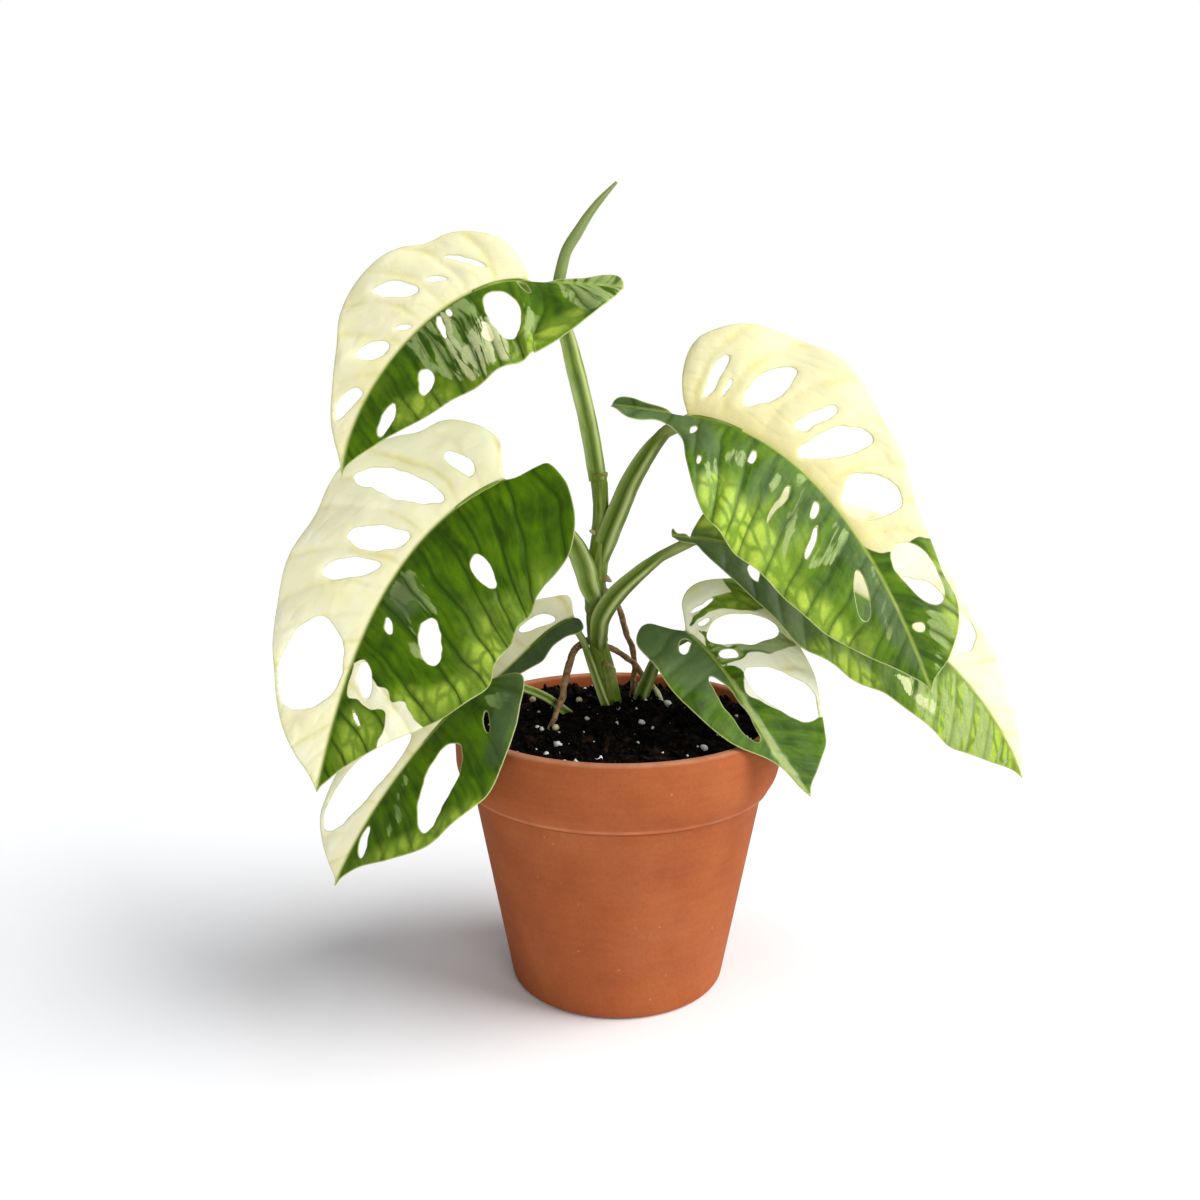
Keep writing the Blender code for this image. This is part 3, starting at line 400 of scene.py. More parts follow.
            ("green", [(17, -1), (25, 7), (33, 2), (39, 6), (49, 15), (55, 21), (58, 28),
                       (70, 24), (80, 6), (82, -1)]),
            ("fair", [(27, 0.4), (39, 1.2), (52, 1.8), (67, 1.6), (76, 0.6), (76, -0.6),
                      (66, -2.4), (56, -1.8), (45, -1.4), (36, -0.8)]),
            ("fair", [(12, 12), (15, 22), (16, 32), (24, 36), (27, 28), (24, 20), (20, 12)]),
        ],
    },
}

# Stalks: radii along a smooth path from the foot, in mm. A path that names a
# leaf ends just under the base of that leaf's blade, and olive is how dark the
# skin is. A foot starts inside the stalk that it grows from, or in the soil.
STALKS = {
    "stem": {
        "path": [(0, 15, -17), (-2, 13, -4), (-5, 11, 12), (-8, 9, 25), (-9, 8, 39),
                 (-9, 7, 50), (-8, 6, 60), (-7, 6, 72), (-7, 6, 84), (-8, 6, 95.3)],
        "radii": [4.4, 4.4, 4.1, 3.9, 4.2, 4.5, 4.3, 3.7, 3.1, 3.6],
        "olive": 0.45,
    },
    "petiole_top_left": {
        "path": [(-8.1, 6, 92.5), (-11, 6, 110), (-14, 6, 124), (-17, 5, 136), (-20, 4, 148),
                 (-24, 2, 158)],
        "radii": [3.7, 3.6, 3.6, 3.6, 3.6, 3.2, 2.6],
        "leaf": "blade_top_left",
    },
    "petiole_mid_left": {
        "path": [(-9, 7, 43), (-11.5, 2.5, 50), (-13.5, 0, 58), (-18, -1.5, 68),
                 (-25, -4, 77), (-34, -7, 85)],
        "radii": [3.2, 4.0, 4.4, 4.2, 3.2, 2.7, 2.3],
        "leaf": "blade_mid_left", "olive": 0.1,
    },
    "petiole_low_left_rear": {
        "path": [(-3, 4, -16), (-4, 4, -4), (-7, 4, 5), (-11, 5, 17), (-14, 7, 26)],
        "radii": [2.0, 2.0, 1.8, 1.7, 1.6, 1.4],
        "leaf": "blade_low_left_rear", "olive": 0.5,
    },
    "petiole_low_left_front": {
        "path": [(-9, 4, -15), (-16, 1, -7), (-24, -3, 1), (-29, -7, 6), (-37, -12, 11),
                 (-45, -16, 14), (-53, -19, 13)],
        "radii": [2.2, 2.2, 2.0, 1.8, 1.8, 1.7, 1.6, 1.4],
        "leaf": "blade_low_left_front", "olive": 0.35,
    },
    "petiole_right_upper": {
        "path": [(-7, 6, 60), (-4, 4, 70), (0, 3, 80), (5, 2, 92), (12, 0, 104),
                 (18, -3, 112)],
        "radii": [3.2, 4.2, 4.2, 4.0, 3.7, 3.2, 2.5],
        "leaf": "blade_right_upper", "olive": 0.6,
    },
    "petiole_right_lower": {
        "path": [(-7.5, 8, 24), (-7.5, 2.5, 31), (-6.5, -0.5, 38), (-1, 0, 46.5),
                 (8, 1, 55), (17, 3, 62)],
        "radii": [3.0, 3.4, 3.8, 3.8, 3.3, 2.8, 2.2],
        "leaf": "blade_right_lower", "olive": 0.7,
    },
    "petiole_right_front": {
        "path": [(11, 19, -15), (10, 16, -2), (13, 13, 8), (16, 8, 17), (20, 1, 25)],
        "radii": [3.2, 3.2, 3.0, 2.7, 2.4, 2.0],
        "leaf": "blade_right_front", "olive": 0.2,
    },
    "new_leaf_spear": {
        "path": [(-20, 4, 148), (-23, 7, 157), (-23.5, 6, 167), (-22, 4, 175), (-20, 2, 181),
                 (-16, 1, 187), (-12, 0, 193), (-7, -1, 199), (-1, -2, 205)],
        "radii": [2.0, 2.4, 2.4, 2.2, 2.0, 2.0, 1.6, 1.2, 0.5],
    },
    "aerial_root_back": {
        "path": [(-8, 9, 50), (-4, 13.5, 45), (0, 16, 39), (3, 18, 28), (6, 21, 18),
                 (7, 23, 7), (6, 24, -6), (6, 24, -12)],
        "radii": [1.2, 1.3, 1.2, 1.1],
    },
    "aerial_root_right": {
        "path": [(-7, 10, 24), (0, 13, 20), (5, 15.5, 16), (11, 18.5, 9), (15, 19, 3),
                 (18, 15, -2), (20, 10, -8), (20.5, 8, -12)],
        "radii": [1.3, 1.3, 1.1, 1.0],
    },
    "aerial_root_left": {
        "path": [(-8, 10, 27), (-14, 11.5, 24), (-19, 8, 20), (-21.5, 0, 13),
                 (-23, -8, 6), (-26, -14, 0), (-28, -18, -7), (-29, -20, -12)],
        "radii": [1.5, 1.6, 1.5, 1.1, 0.9],
    },
}


def linear(code):
    """An sRGB hex colour such as 'a85a33' as linear red, green, blue and alpha."""
    parts = [int(code[i:i + 2], 16) / 255 for i in (0, 2, 4)]
    return (*[c / 12.92 if c <= 0.04045 else ((c + 0.055) / 1.055) ** 2.4 for c in parts], 1.0)


def colour_prop(name, description, code):
    """A colour setting whose default is an sRGB hex value."""
    return FloatVectorProperty(name=name, description=description, subtype="COLOR", size=4,
                               min=0.0, max=1.0, default=linear(code))


def length_prop(name, description, millimetres):
    """A length setting whose default is in millimetres."""
    return FloatProperty(name=name, description=description, unit="LENGTH", min=0.0,
                         precision=5, default=millimetres * MM)


class PotSettings(PropertyGroup):
    """The terracotta pot."""

    steps: IntProperty(name="Steps", description="Points round the pot", default=240, min=24)
    clay: colour_prop("Clay", "Fired clay between its mottles", "a45930")
    burnt: colour_prop("Burnt clay", "Darker mottles of the clay", "964f2c")
    dusty: colour_prop("Dusty clay", "Lighter mottles and dust of the clay", "af6841")


class SoilSettings(PropertyGroup):
    """The potting mix and what is scattered on it."""

    crumbs: IntProperty(name="Crumbs", description="Loose peat crumbs", default=900, min=0)
    perlite: IntProperty(name="Perlite", description="White perlite grains", default=75, min=0)
    prills: IntProperty(name="Prills", description="Balls of slow plant food", default=4, min=0)
    lump: length_prop("Lump height", "Height of the soil's lumps", 1.9)
    peat: colour_prop("Peat", "Damp peat", "050403")
    fibre: colour_prop("Fibre", "Dry brown fibres and bark in the peat", "38261a")
    white: colour_prop("Perlite white", "Expanded perlite", "e9e7de")


class LeafSettings(PropertyGroup):
    """The seven pierced blades."""

    cell: length_prop("Net cell", "Spacing of the net that a blade is drawn on", 0.9)
    thick: length_prop("Thickness", "Thickness of a blade away from its margin", 0.55)
    quilt: length_prop("Quilting", "Rise of the blade between lateral veins", 1.0)
    vein_gap: length_prop("Vein spacing", "Usual distance between lateral veins", 11.0)
    cream: colour_prop("Cream", "Leaf tissue with no green in it", "f4f2d9")
    yellow: colour_prop("Yellow", "Cream tissue beside the midrib", "dcc658")
    # Deep green is the vein lines' own colour, and also painted shade in the vein grooves.
    deep: colour_prop("Deep green", "Green tissue in the vein grooves", "2c4602")
    green: colour_prop("Green", "Green tissue between the veins", "597c02")
    lime: colour_prop("Lime", "Thinly coloured green tissue", "a4bb40")
    # Sage is partly grey-green tissue with air under the skin and partly a painted sheen.
    sage: colour_prop("Sage", "Grey-green tissue with air under the skin", "98aa68")


class StalkSettings(PropertyGroup):
    """Stem, petioles and young leaf."""

    around: IntProperty(name="Around", description="Points round a stalk", default=40, min=8)
    skin: colour_prop("Skin", "Green skin of stem and petioles", "8ea23c")
    # Channel green: the skin's darker streaks, and painted shade in a petiole's channel and along
    # the rolled leaf's seam.
    shade: colour_prop("Channel green", "Darker skin in a petiole's channel", "506b14")
    # Pale skin on the wings is partly a painted highlight.
    pale: colour_prop("Pale skin", "Pale skin on a petiole's wings", "bfcc84")


class RootSettings(PropertyGroup):
    """The aerial roots."""

    around: IntProperty(name="Around", description="Points round a root", default=24, min=8)
    bark: colour_prop("Bark", "Dry skin of the roots", "a17d4e")


class StudioSettings(PropertyGroup):
    """Floor and light."""

    key: FloatProperty(name="Key light", description="Strength of the main light", default=3.8)
    sky: FloatProperty(name="Sky", description="Strength of the light from all sides",
                       default=0.37)
    front: FloatProperty(name="Front light", description="Power of the light before the plant",
                         default=4.2)
    softness: FloatProperty(name="Softness", description="Angle that the main light fills",
                            subtype="ANGLE", default=math.radians(50))


# Noise, in the units of its points


def lattice_noise(points, size, seed):
    """Smooth noise from -1 to 1: random values on a cubic lattice, eased between corners."""
    side = 32
    table = np.random.default_rng(seed).uniform(-1, 1, (side,) * 3)
    place = np.asarray(points, float) / size
    cell = np.floor(place).astype(int)
    ease = place - cell
    ease = ease * ease * (3 - 2 * ease)
    total = np.zeros(len(place))
    for corner in np.ndindex(2, 2, 2):
        at = (cell + corner) % side
        weight = np.prod(np.where(np.array(corner, bool), ease, 1 - ease), axis=1)
        total += weight * table[at[:, 0], at[:, 1], at[:, 2]]
    return total


def rough(points, size, octaves, seed):
    """Sum of lattice noises, each half the size and half the height of the one before."""
    return sum(0.5 ** k * lattice_noise(points, size / 2 ** k, seed + k) for k in range(octaves))


def crumbly(x, y, size, seed):
    """Rounded lumps from 0 to 1: a half ball on each jittered point of a square lattice."""
    side = 64
    table = np.random.default_rng(seed).uniform(0, 1, (3, side, side))
    column, row = np.floor(x / size).astype(int), np.floor(y / size).astype(int)
    height = np.zeros(len(x))
    for near in np.ndindex(3, 3):
        i, j = column + near[0] - 1, row + near[1] - 1
        right, up, big = table[:, i % side, j % side]
        away = np.hypot(x / size - i - right, y / size - j - up)
        reach = 0.45 + 0.5 * big
        height = np.maximum(height, reach * np.sqrt(np.clip(1 - (away / reach) ** 2, 0, 1)))
    return height


# Lines


def smooth(points, per_span):
    """Catmull-Rom points through the given ones, ends kept."""
    points = np.array(points, float)
    chain = np.vstack([2 * points[0] - points[1], points, 2 * points[-1] - points[-2]])
    a, b, c, d = (chain[i:len(chain) - 3 + i, None] for i in range(4))
    t = np.linspace(0, 1, per_span, endpoint=False)[None, :, None]
    spans = 0.5 * (2 * b + (c - a) * t + (2 * a - 5 * b + 4 * c - d) * t ** 2
                   + (3 * b - a - 3 * c + d) * t ** 3)
    return np.vstack([spans.reshape(-1, points.shape[1]), points[-1:]])


def run_of(line):
    """Distance along a line at each of its points."""
    return np.concatenate([[0], np.cumsum(np.linalg.norm(np.diff(line, axis=0), axis=1))])


def evenly(line, step):
    """The same line with points about one step apart."""
    run = run_of(line)
    where = np.linspace(0, run[-1], max(2, round(run[-1] / step) + 1))
    return np.column_stack([np.interp(where, run, axis) for axis in line.T])


def unit(vectors):
    """Vectors scaled to length 1."""
    return vectors / np.linalg.norm(vectors, axis=-1, keepdims=True)


def circle(steps):
    """Angles of evenly spaced points round a circle."""
    return np.arange(steps) * 2 * math.pi / steps


def bell(distance, width):
    """A smooth hump: 1 at distance nought, falling away over width."""
    return np.exp(-(distance / width) ** 2)


# Meshes


def piece(name, points, faces, material, node=None, uv=None, shares=None):
    """A finished mesh from points in mm and a list of face arrays, riding on the plant.

    node is the solid it replaces, uv a place in mm for each point, and shares a
    dictionary of named values at the points, which the material reads.
    """
    loops = np.concatenate([block.ravel() for block in faces])
    sizes = np.concatenate([np.full(len(block), block.shape[1]) for block in faces])
    mesh = bpy.data.meshes.new(name)
    mesh.vertices.add(len(points))
    mesh.vertices.foreach_set("co", (points * MM).ravel())
    mesh.loops.add(len(loops))
    mesh.loops.foreach_set("vertex_index", loops)
    mesh.polygons.add(len(sizes))
    mesh.polygons.foreach_set("loop_start", np.concatenate([[0], np.cumsum(sizes)[:-1]]))
    mesh.update(calc_edges=True)
    mesh.shade_smooth()
    mesh.materials.append(material)
    if uv is not None:
        layer = mesh.uv_layers.new(name="Surface")
        layer.uv.foreach_set("vector", (uv[loops] * MM).ravel())
    for title, values in (shares or {}).items():
        mesh.attributes.new(title, "FLOAT", "POINT").data.foreach_set("value", values)
    made = bpy.data.objects.new(name, mesh)
    bpy.context.scene.collection.objects.link(made)
    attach(made, "root")
    if node:
        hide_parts(node)
    return made


def band(rings):
    """Points and quads of an open surface over rings of points, (ring, point, xyz)."""
    count, around = rings.shape[:2]
    ring = np.arange(count * around).reshape(count, around)
    beside = np.roll(ring, -1, axis=1)
    quads = np.stack([ring[:-1], beside[:-1], beside[1:], ring[1:]], axis=-1)
    return rings.reshape(-1, 3), quads.reshape(-1, 4)


def skin(rings):
    """Points and faces of a closed surface over rings of points.

    The middle of the first ring and of the last becomes the pole that closes it.
    """
    points, quads = band(rings)
    around = rings.shape[1]
    first = np.arange(around)
    beside = np.roll(first, -1)
    last = len(points) - around
    start, end = np.full(around, len(points)), np.full(around, len(points) + 1)
    fans = np.vstack([np.stack([beside, first, start], axis=-1),
                      np.stack([first + last, beside + last, end], axis=-1)])
    return np.vstack([points, rings[0].mean(0), rings[-1].mean(0)]), [quads, fans]


def with_poles(values):
    """Values on rings, flattened, with the mean of each end ring added for its pole."""
    flat = values.reshape(values.shape[0] * values.shape[1], *values.shape[2:])
    return np.concatenate([flat, [values[0].mean(0)], [values[-1].mean(0)]])


def clip(triangles, depth):
    """The part of a triangle net where depth is below nought.

    A triangle on the edge is cut where depth, taken as straight along each side,
    is nought. Returns the triangles, then for each new point the two net points
    it lies between and its share of the way.
    """
    inside = depth[triangles] < 0
    count = inside.sum(axis=1)
    turn = np.where(count == 1, inside.argmax(axis=1), (~inside).argmax(axis=1))
    lead = np.take_along_axis(triangles, (turn[:, None] + [0, 1, 2]) % 3, axis=1)
    one, two = lead[count == 1], lead[count == 2]
    sides = np.sort(np.vstack([one[:, [0, 1]], one[:, [0, 2]], two[:, [0, 1]], two[:, [0, 2]]]))
    ends, back = np.unique(sides, axis=0, return_inverse=True)
    cut = len(depth) + back.reshape(-1)
    a, b, c, d = np.split(cut, np.cumsum([len(one), len(one), len(two)]))
    share = depth[ends[:, 0]] / (depth[ends[:, 0]] - depth[ends[:, 1]])
    kept = np.vstack([triangles[count == 3], np.column_stack([one[:, 0], a, b]),
                      np.column_stack([c, two[:, 1], two[:, 2]]),
                      np.column_stack([c, two[:, 2], d])])
    return kept, ends, share


def rim_of(triangles):
    """The directed sides that only one triangle has: the edge of a net."""
    sides = np.vstack([triangles[:, [0, 1]], triangles[:, [1, 2]], triangles[:, [2, 0]]])
    _, first, times = np.unique(np.sort(sides), axis=0, return_index=True, return_counts=True)
    return sides[first[times == 1]]


def two_faced(triangles, count):
    """Faces of a thin shell: a net, its copy facing away, and a wall between their edges.

    The copy's points are numbered count later than the net's.
    """
    edge = rim_of(triangles)
    wall = np.column_stack([edge[:, 1], edge[:, 0], edge[:, 0] + count, edge[:, 1] + count])
    return [triangles, triangles[:, ::-1] + count, wall]


def net(points, triangles, depth):
    """Points of a net and its clipped triangles, with unused points left out."""
    kept, ends, share = clip(triangles, depth)
    points = np.vstack([points, points[ends[:, 0]] * (1 - share)[:, None]
                        + points[ends[:, 1]] * share[:, None]])
    used, renamed = np.unique(kept, return_inverse=True)
    return points[used], renamed.reshape(-1, 3)


def depth_in(points, loop):
    """Distance in the plane to a closed outline, below nought inside it."""
    ahead = np.roll(loop, -1, axis=0) - loop
    nearest = np.full(len(points), np.inf)
    crossings = np.zeros(len(points), int)
    for start, way in zip(loop, ahead):
        out = points - start
        share = np.clip((out @ way) / max(way @ way, 1e-9), 0, 1)
        nearest = np.minimum(nearest, np.sum((out - share[:, None] * way) ** 2, axis=1))
        level = (out[:, 1] < 0) != (out[:, 1] < way[1])
        side = out[:, 0] * way[1] - out[:, 1] * way[0]
        crossings += level & ((side < 0) == (way[1] > 0))
    return np.where(crossings % 2, -1, 1) * np.sqrt(nearest)


# Materials


def add(material, kind, feeds=None, **settings):
    """Add a node: its settings, then each input as a value, or a link from a socket or node.

    A node that is fed in stands for its first output in use. Inputs go by name,
    or by number where names repeat: 0 and 1 of a Math node, 2 its addend, and
    0, 6 and 7 of a colour Mix, which are its share and its two colours. On a
    vector Mix they are 0, 4 and 5.
    """
    tree = material.node_tree
    made = tree.nodes.new(kind)
    for name, value in settings.items():
        setattr(made, name, value)
    for key, value in (feeds or {}).items():
        if isinstance(value, bpy.types.Node):
            value = next(output for output in value.outputs if output.enabled)
        if isinstance(value, bpy.types.NodeSocket):
            tree.links.new(value, made.inputs[key])
        else:
            made.inputs[key].default_value = value
    return made


def new_material(name):
    """A material made of nodes, with none in it yet."""
    made = bpy.data.materials.new(name)
    made.use_nodes = True
    made.node_tree.nodes.clear()
    return made


# Leaf blades


def bezier(points, t):
    """Points of a cubic Bezier at the parameters t."""
    a, b, c, d = (np.array(p, float) for p in points)
    t = t[:, None]
    return (1 - t) ** 3 * a + 3 * (1 - t) ** 2 * t * b + 3 * (1 - t) * t ** 2 * c + t ** 3 * d


def raised(points):
    """Points of the tables at their heights from the ground."""
    return np.array(points, float) + (0, 0, CROWN_LEVEL)


def midrib_frame(leaf, along):
    """Point, direction, upward normal and length of the midrib at distances along it."""
    t = np.linspace(0, 1, MIDRIB_STEPS)
    midrib = raised(leaf["midrib"])
    run = run_of(bezier(midrib, t))
    at = np.interp(along, run, t)
    ahead = unit(bezier(midrib, np.clip(at + MIDRIB_NUDGE, 0, 1))
                 - bezier(midrib, np.clip(at - MIDRIB_NUDGE, 0, 1)))
    faces = unit(np.array(leaf["faces"], float))
    upward = unit(faces - (ahead @ faces)[:, None] * ahead)
    past = np.minimum(along, 0) + np.maximum(along - run[-1], 0)
    return bezier(midrib, at) + ahead * past[:, None], ahead, upward, run[-1]


def bent(leaf, flat):
    """Bend flat (across, along) points round the midrib.

    Each half leaves the midrib at its fold angle and then curls at a steady
    rate, so its section is an arc. Waves grow towards the edge.
    """
    across, along = flat.T
    place, ahead, upward, length = midrib_frame(leaf, along)
    stations = (LOBE_STATION, 0, length / 2, length)
    pale = across * leaf["pale_side"] >= 0
    fold = np.radians(np.where(pale, np.interp(along, stations, leaf["pale_fold"]),
                               np.interp(along, stations, leaf["green_fold"])))
    curl = np.radians(np.where(pale, leaf["pale_curl"], leaf["green_curl"])) / CURL_SPAN
    width = np.abs(across)
    reach = (np.sin(fold + curl * width) - np.sin(fold)) / curl * np.sign(across)
    rise = (np.cos(fold) - np.cos(fold + curl * width)) / curl
    wave = np.sin(2 * np.pi * along / WAVE_LENGTH)
    rise += WAVE_HEIGHT * (width / CURL_SPAN) ** 2 * wave
    return place + np.cross(ahead, upward) * reach[:, None] + upward * rise[:, None]


def blade_outline(leaf, length, step):
    """The blade's closed outline as (across, along) points."""
    side = leaf["pale_side"]
    tip = (length + TIP_REACH, 0)
    pale = evenly(smooth([(0, 0.4), *leaf["pale"], tip], 8), step)
    green = evenly(smooth([(0, 0.4), *leaf["green"], tip], 8), step)[::-1]
    return np.vstack([pale[:, ::-1] * (side, 1), green[1:, ::-1] * (-side, 1)])


def on_leaf(flat, length):
    """Places for noise on a blade, whose length as the third makes each leaf's own."""
    return np.column_stack([flat, np.full(len(flat), length)])


def hole_depths(leaf, flat, length):
    """Distance to the nearest hole's edge, above nought inside a hole.

    A hole is an oval turned on the blade, whose radius swells and shrinks by up to
    a twentieth twice round it, and by a little less three times round it. The
    distance is the oval's own, to first order.
    """
    nearest = np.full(len(flat), -np.inf)
    here = on_leaf(flat, length)
    flat = flat + HOLE_WANDER * np.column_stack([rough(here, 6, 2, 41), rough(here, 6, 2, 43)])
    side = leaf["pale_side"]
    for half, sign in (("pale_holes", side), ("green_holes", -side)):
        for along, across, far_size, wide_size, turn in leaf[half]:
            ahead, out = flat[:, 1] - along, flat[:, 0] * sign - across
            sine, cosine = math.sin(math.radians(turn)), math.cos(math.radians(turn))
            far, wide = ahead * sine + out * cosine, ahead * cosine - out * sine
            angle = np.arctan2(wide / wide_size, far / far_size)
            uneven = 1 + 0.05 * np.sin(2 * angle + along) + 0.04 * np.sin(3 * angle + across)
            half_far, half_wide = 0.5 * far_size * uneven, 0.5 * wide_size * uneven
            ratio = np.hypot(far / half_far, wide / half_wide)
            slope = np.hypot(far / half_far ** 2, wide / half_wide ** 2)
            nearest = np.maximum(nearest, ratio * (1 - ratio) / np.maximum(slope, 1e-6))
    return nearest


def blade_depth(leaf, flat, length, outline):
    """Distance to the nearest edge, below nought in the tissue. Holes keep off the margin."""
    beyond = depth_in(flat, outline)
    holes = np.minimum(hole_depths(leaf, flat, length), -beyond - HOLE_MARGIN)
    return np.maximum(beyond, holes)


def vein_station(length, along, width):
    """Where on the midrib the lateral vein through each point starts.

    The vein from s runs along = s + width tan(lean(s)) + VEIN_BOW width^2, and s
    is found by halving the error again and again.
    """
    start = along.copy()
    for _ in range(VEIN_ROUNDS):
        lean = np.radians(np.interp(start / length, VEIN_SHARES, VEIN_LEANS))
        start += 0.5 * (along - width * np.tan(lean) - VEIN_BOW * width ** 2 - start)
    return start


def vein_starts(holes, length, gap):
    """Starts of one half's lateral veins: midway between its holes, and even beyond them."""
    along, across = (np.array([hole[i] for hole in holes], float) for i in (0, 1))
    between = np.sort(vein_station(length, along, across)) if len(holes) else along
    apart = np.concatenate([[True], np.diff(between) > VEIN_MERGE])[:len(between)]
    between = between[apart]
    starts = list((between[1:] + between[:-1]) / 2) or [length / 3]
    starts = [starts[0] - gap * i for i in range(VEINS_BEFORE, 0, -1)] + starts
    starts += [starts[-1] + gap * (i + 1) for i in range(VEINS_PAST)]
    filled = [np.linspace(a, b, max(1, round((b - a) / gap)), endpoint=False)
              for a, b in zip(starts, starts[1:])]
    return np.concatenate(filled)


def vein_places(leaf, length, flat, gap):
    """Number of the lateral vein at each point, whole on a vein, and distance to it in mm.

    Away from the midrib, smooth noise moves the veins by up to VEIN_WANDER.
    """
    across, along = flat.T
    start = vein_station(length, along, np.abs(across))
    wander = rough(on_leaf(flat, length), 17, 2, 61)
    start = start + VEIN_WANDER * wander * np.clip(np.abs(across) / VEIN_WANDER_FULL, 0, 1)
    pale = across * leaf["pale_side"] >= 0
    phase = np.zeros(len(flat))
    for half, chosen in (("pale_holes", pale), ("green_holes", ~pale)):
        starts = vein_starts(leaf[half], length, gap)
        phase[chosen] = np.interp(start[chosen], starts, np.arange(len(starts)))
    return phase, np.abs(phase - np.round(phase)) * gap


def tone_depths(leaf, flat, tone):
    """Distance to the nearest patch of a tone, below nought inside, with uneven margins."""
    signed = np.column_stack([flat[:, 0] * leaf["pale_side"], flat[:, 1]])
    here = on_leaf(signed, 0)
    signed = signed + PATCH_WANDER * np.column_stack([rough(here, 7, 2, 11),
                                                      rough(here, 7, 2, 23)])
    depth = np.full(len(flat), 99.0)
    for name, outline in leaf["patches"]:
        if name == tone:
            loop = smooth([*outline, outline[0]], 4)[:-1, ::-1]
            depth = np.minimum(depth, depth_in(signed, loop))
    return depth


def soft(depth, blur):
    """1 well inside a patch, 0 well outside, eased over its margin."""
    share = np.clip(0.5 - depth / blur, 0, 1)
    return share * share * (3 - 2 * share)


def leaf_tones(leaf, flat, length):
    """What the leaf's material reads of its colours at each point.

    Green is a distance: into the green half or a green patch, and out of any
    cream one. Lime also grows as broad noise + (width - LIME_START) / LIME_REACH,
    and yellow falls off as exp(-width / YELLOW_REACH), where width is the
    distance from the midrib.
    """
    across = flat[:, 0] * leaf["pale_side"]
    width = np.abs(across)
    green = np.maximum(-across, -tone_depths(leaf, flat, "green"))
    shares = {tone: soft(tone_depths(leaf, flat, tone), blur)
              for tone, blur in TONE_BLURS.items()}
    wash = rough(on_leaf(flat, length), 24, 2, 5)
    outer = np.clip(wash + (width - LIME_START) / LIME_REACH, 0, 0.6)
    beside_rib = 0.15 + 0.85 * np.exp(-width / YELLOW_REACH)
    shares["green"] = np.minimum(green, tone_depths(leaf, flat, "cream"))
    shares["lime"] = np.clip(shares["lime"] + 0.5 * outer, 0, 1)
    shares["yellow"] = leaf["yellow"] * beside_rib + 0.2 * np.clip(wash, 0, 1)
    for tone in ("tan", "veins"):
        shares[tone] = np.full(len(flat), leaf[tone])
    return shares


def flat_net(outline, cell):
    """Points and triangles of a square net that covers an outline, diagonals turned in turn."""
    low = np.floor(outline.min(axis=0) / cell - 1).astype(int)
    high = np.ceil(outline.max(axis=0) / cell + 1).astype(int)
    column, row = np.meshgrid(np.arange(low[0], high[0] + 1), np.arange(low[1], high[1] + 1))
    number = np.arange(column.size).reshape(column.shape)
    a, b, c, d = (block.ravel() for block in (number[:-1, :-1], number[:-1, 1:],
                                              number[1:, 1:], number[1:, :-1]))
    even = ((column + row)[:-1, :-1].ravel() % 2 == 0)[:, None]
    first = np.where(even, np.column_stack([a, b, c]), np.column_stack([a, b, d]))
    second = np.where(even, np.column_stack([a, c, d]), np.column_stack([b, c, d]))
    return np.column_stack([column.ravel(), row.ravel()]) * cell, np.vstack([first, second])


def make_blade(name, leaf, settings, material):
    """One blade: a flat net cut to its outline and holes, then bent, quilted and thickened.

    A point of the net at (across, along) stands on the bent surface, moved along
    its normal by the quilting, which sinks to each lateral vein as
    exp(-distance / VEIN_SINK), and by half the thickness. The quilting starts
    QUILT_START from the midrib, is full QUILT_RAMP further out and fades over
    QUILT_EDGE at the margin. The midrib is a groove above and a rounded rib
    below, and both thin away towards the tip.
    """
    length = midrib_frame(leaf, np.zeros(1))[3]
    outline = blade_outline(leaf, length, OUTLINE_STEP)
    flat, triangles = flat_net(outline, settings.cell / MM)
    flat, triangles = net(flat, triangles, blade_depth(leaf, flat, length, outline))
    edge = -np.minimum(blade_depth(leaf, flat, length, outline), 0)
    phase, from_vein = vein_places(leaf, length, flat, settings.vein_gap / MM)
    width = np.abs(flat[:, 0])
    ramp = np.clip((width - QUILT_START) / QUILT_RAMP, 0, 1)
    ramp *= np.clip(edge / QUILT_EDGE, 0.15, 1)
    thin = np.clip(1.1 - flat[:, 1] / length, 0.25, 1)
    sunk = QUILT_MIDDLE - np.exp(-from_vein / VEIN_SINK)
    quilt = settings.quilt / MM * ramp * np.sqrt(thin) * sunk
    pucker = PUCKER * ramp * rough(on_leaf(flat, length), 9, 2, 31)
    groove = -GROOVE_DEPTH * thin * bell(width, GROOVE_WIDTH)
    rib = RIB_HEIGHT * thin * bell(width, RIB_WIDTH)
    place = bent(leaf, flat)
    right, ahead = (bent(leaf, flat + step) - bent(leaf, flat - step)
                    for step in NUDGE * np.eye(2))
    normal = unit(np.cross(right, ahead))
    full = 0.5 * settings.thick / MM
    half = EDGE_THICK / 2 + (full - EDGE_THICK / 2) * np.sqrt(np.clip(edge / EDGE_ROUND, 0, 1))
    above = place + normal * (quilt + pucker + groove + half)[:, None]
    below = place + normal * (quilt + pucker - rib - half)[:, None]
    shares = leaf_tones(leaf, flat, length)
    shares.update({"vein": phase, "width": width, "edge": edge, "under": np.zeros(len(flat))})
    doubled = {title: np.tile(values, 2) for title, values in shares.items()}
    doubled["under"][len(flat):] = 1
    title = name.replace("blade", "leaf")
    turn = np.array([length * 3, length])
    return piece(title, np.vstack([above, below]), two_faced(triangles, len(flat)), material,
                 name, np.tile(flat + turn, (2, 1)), doubled)


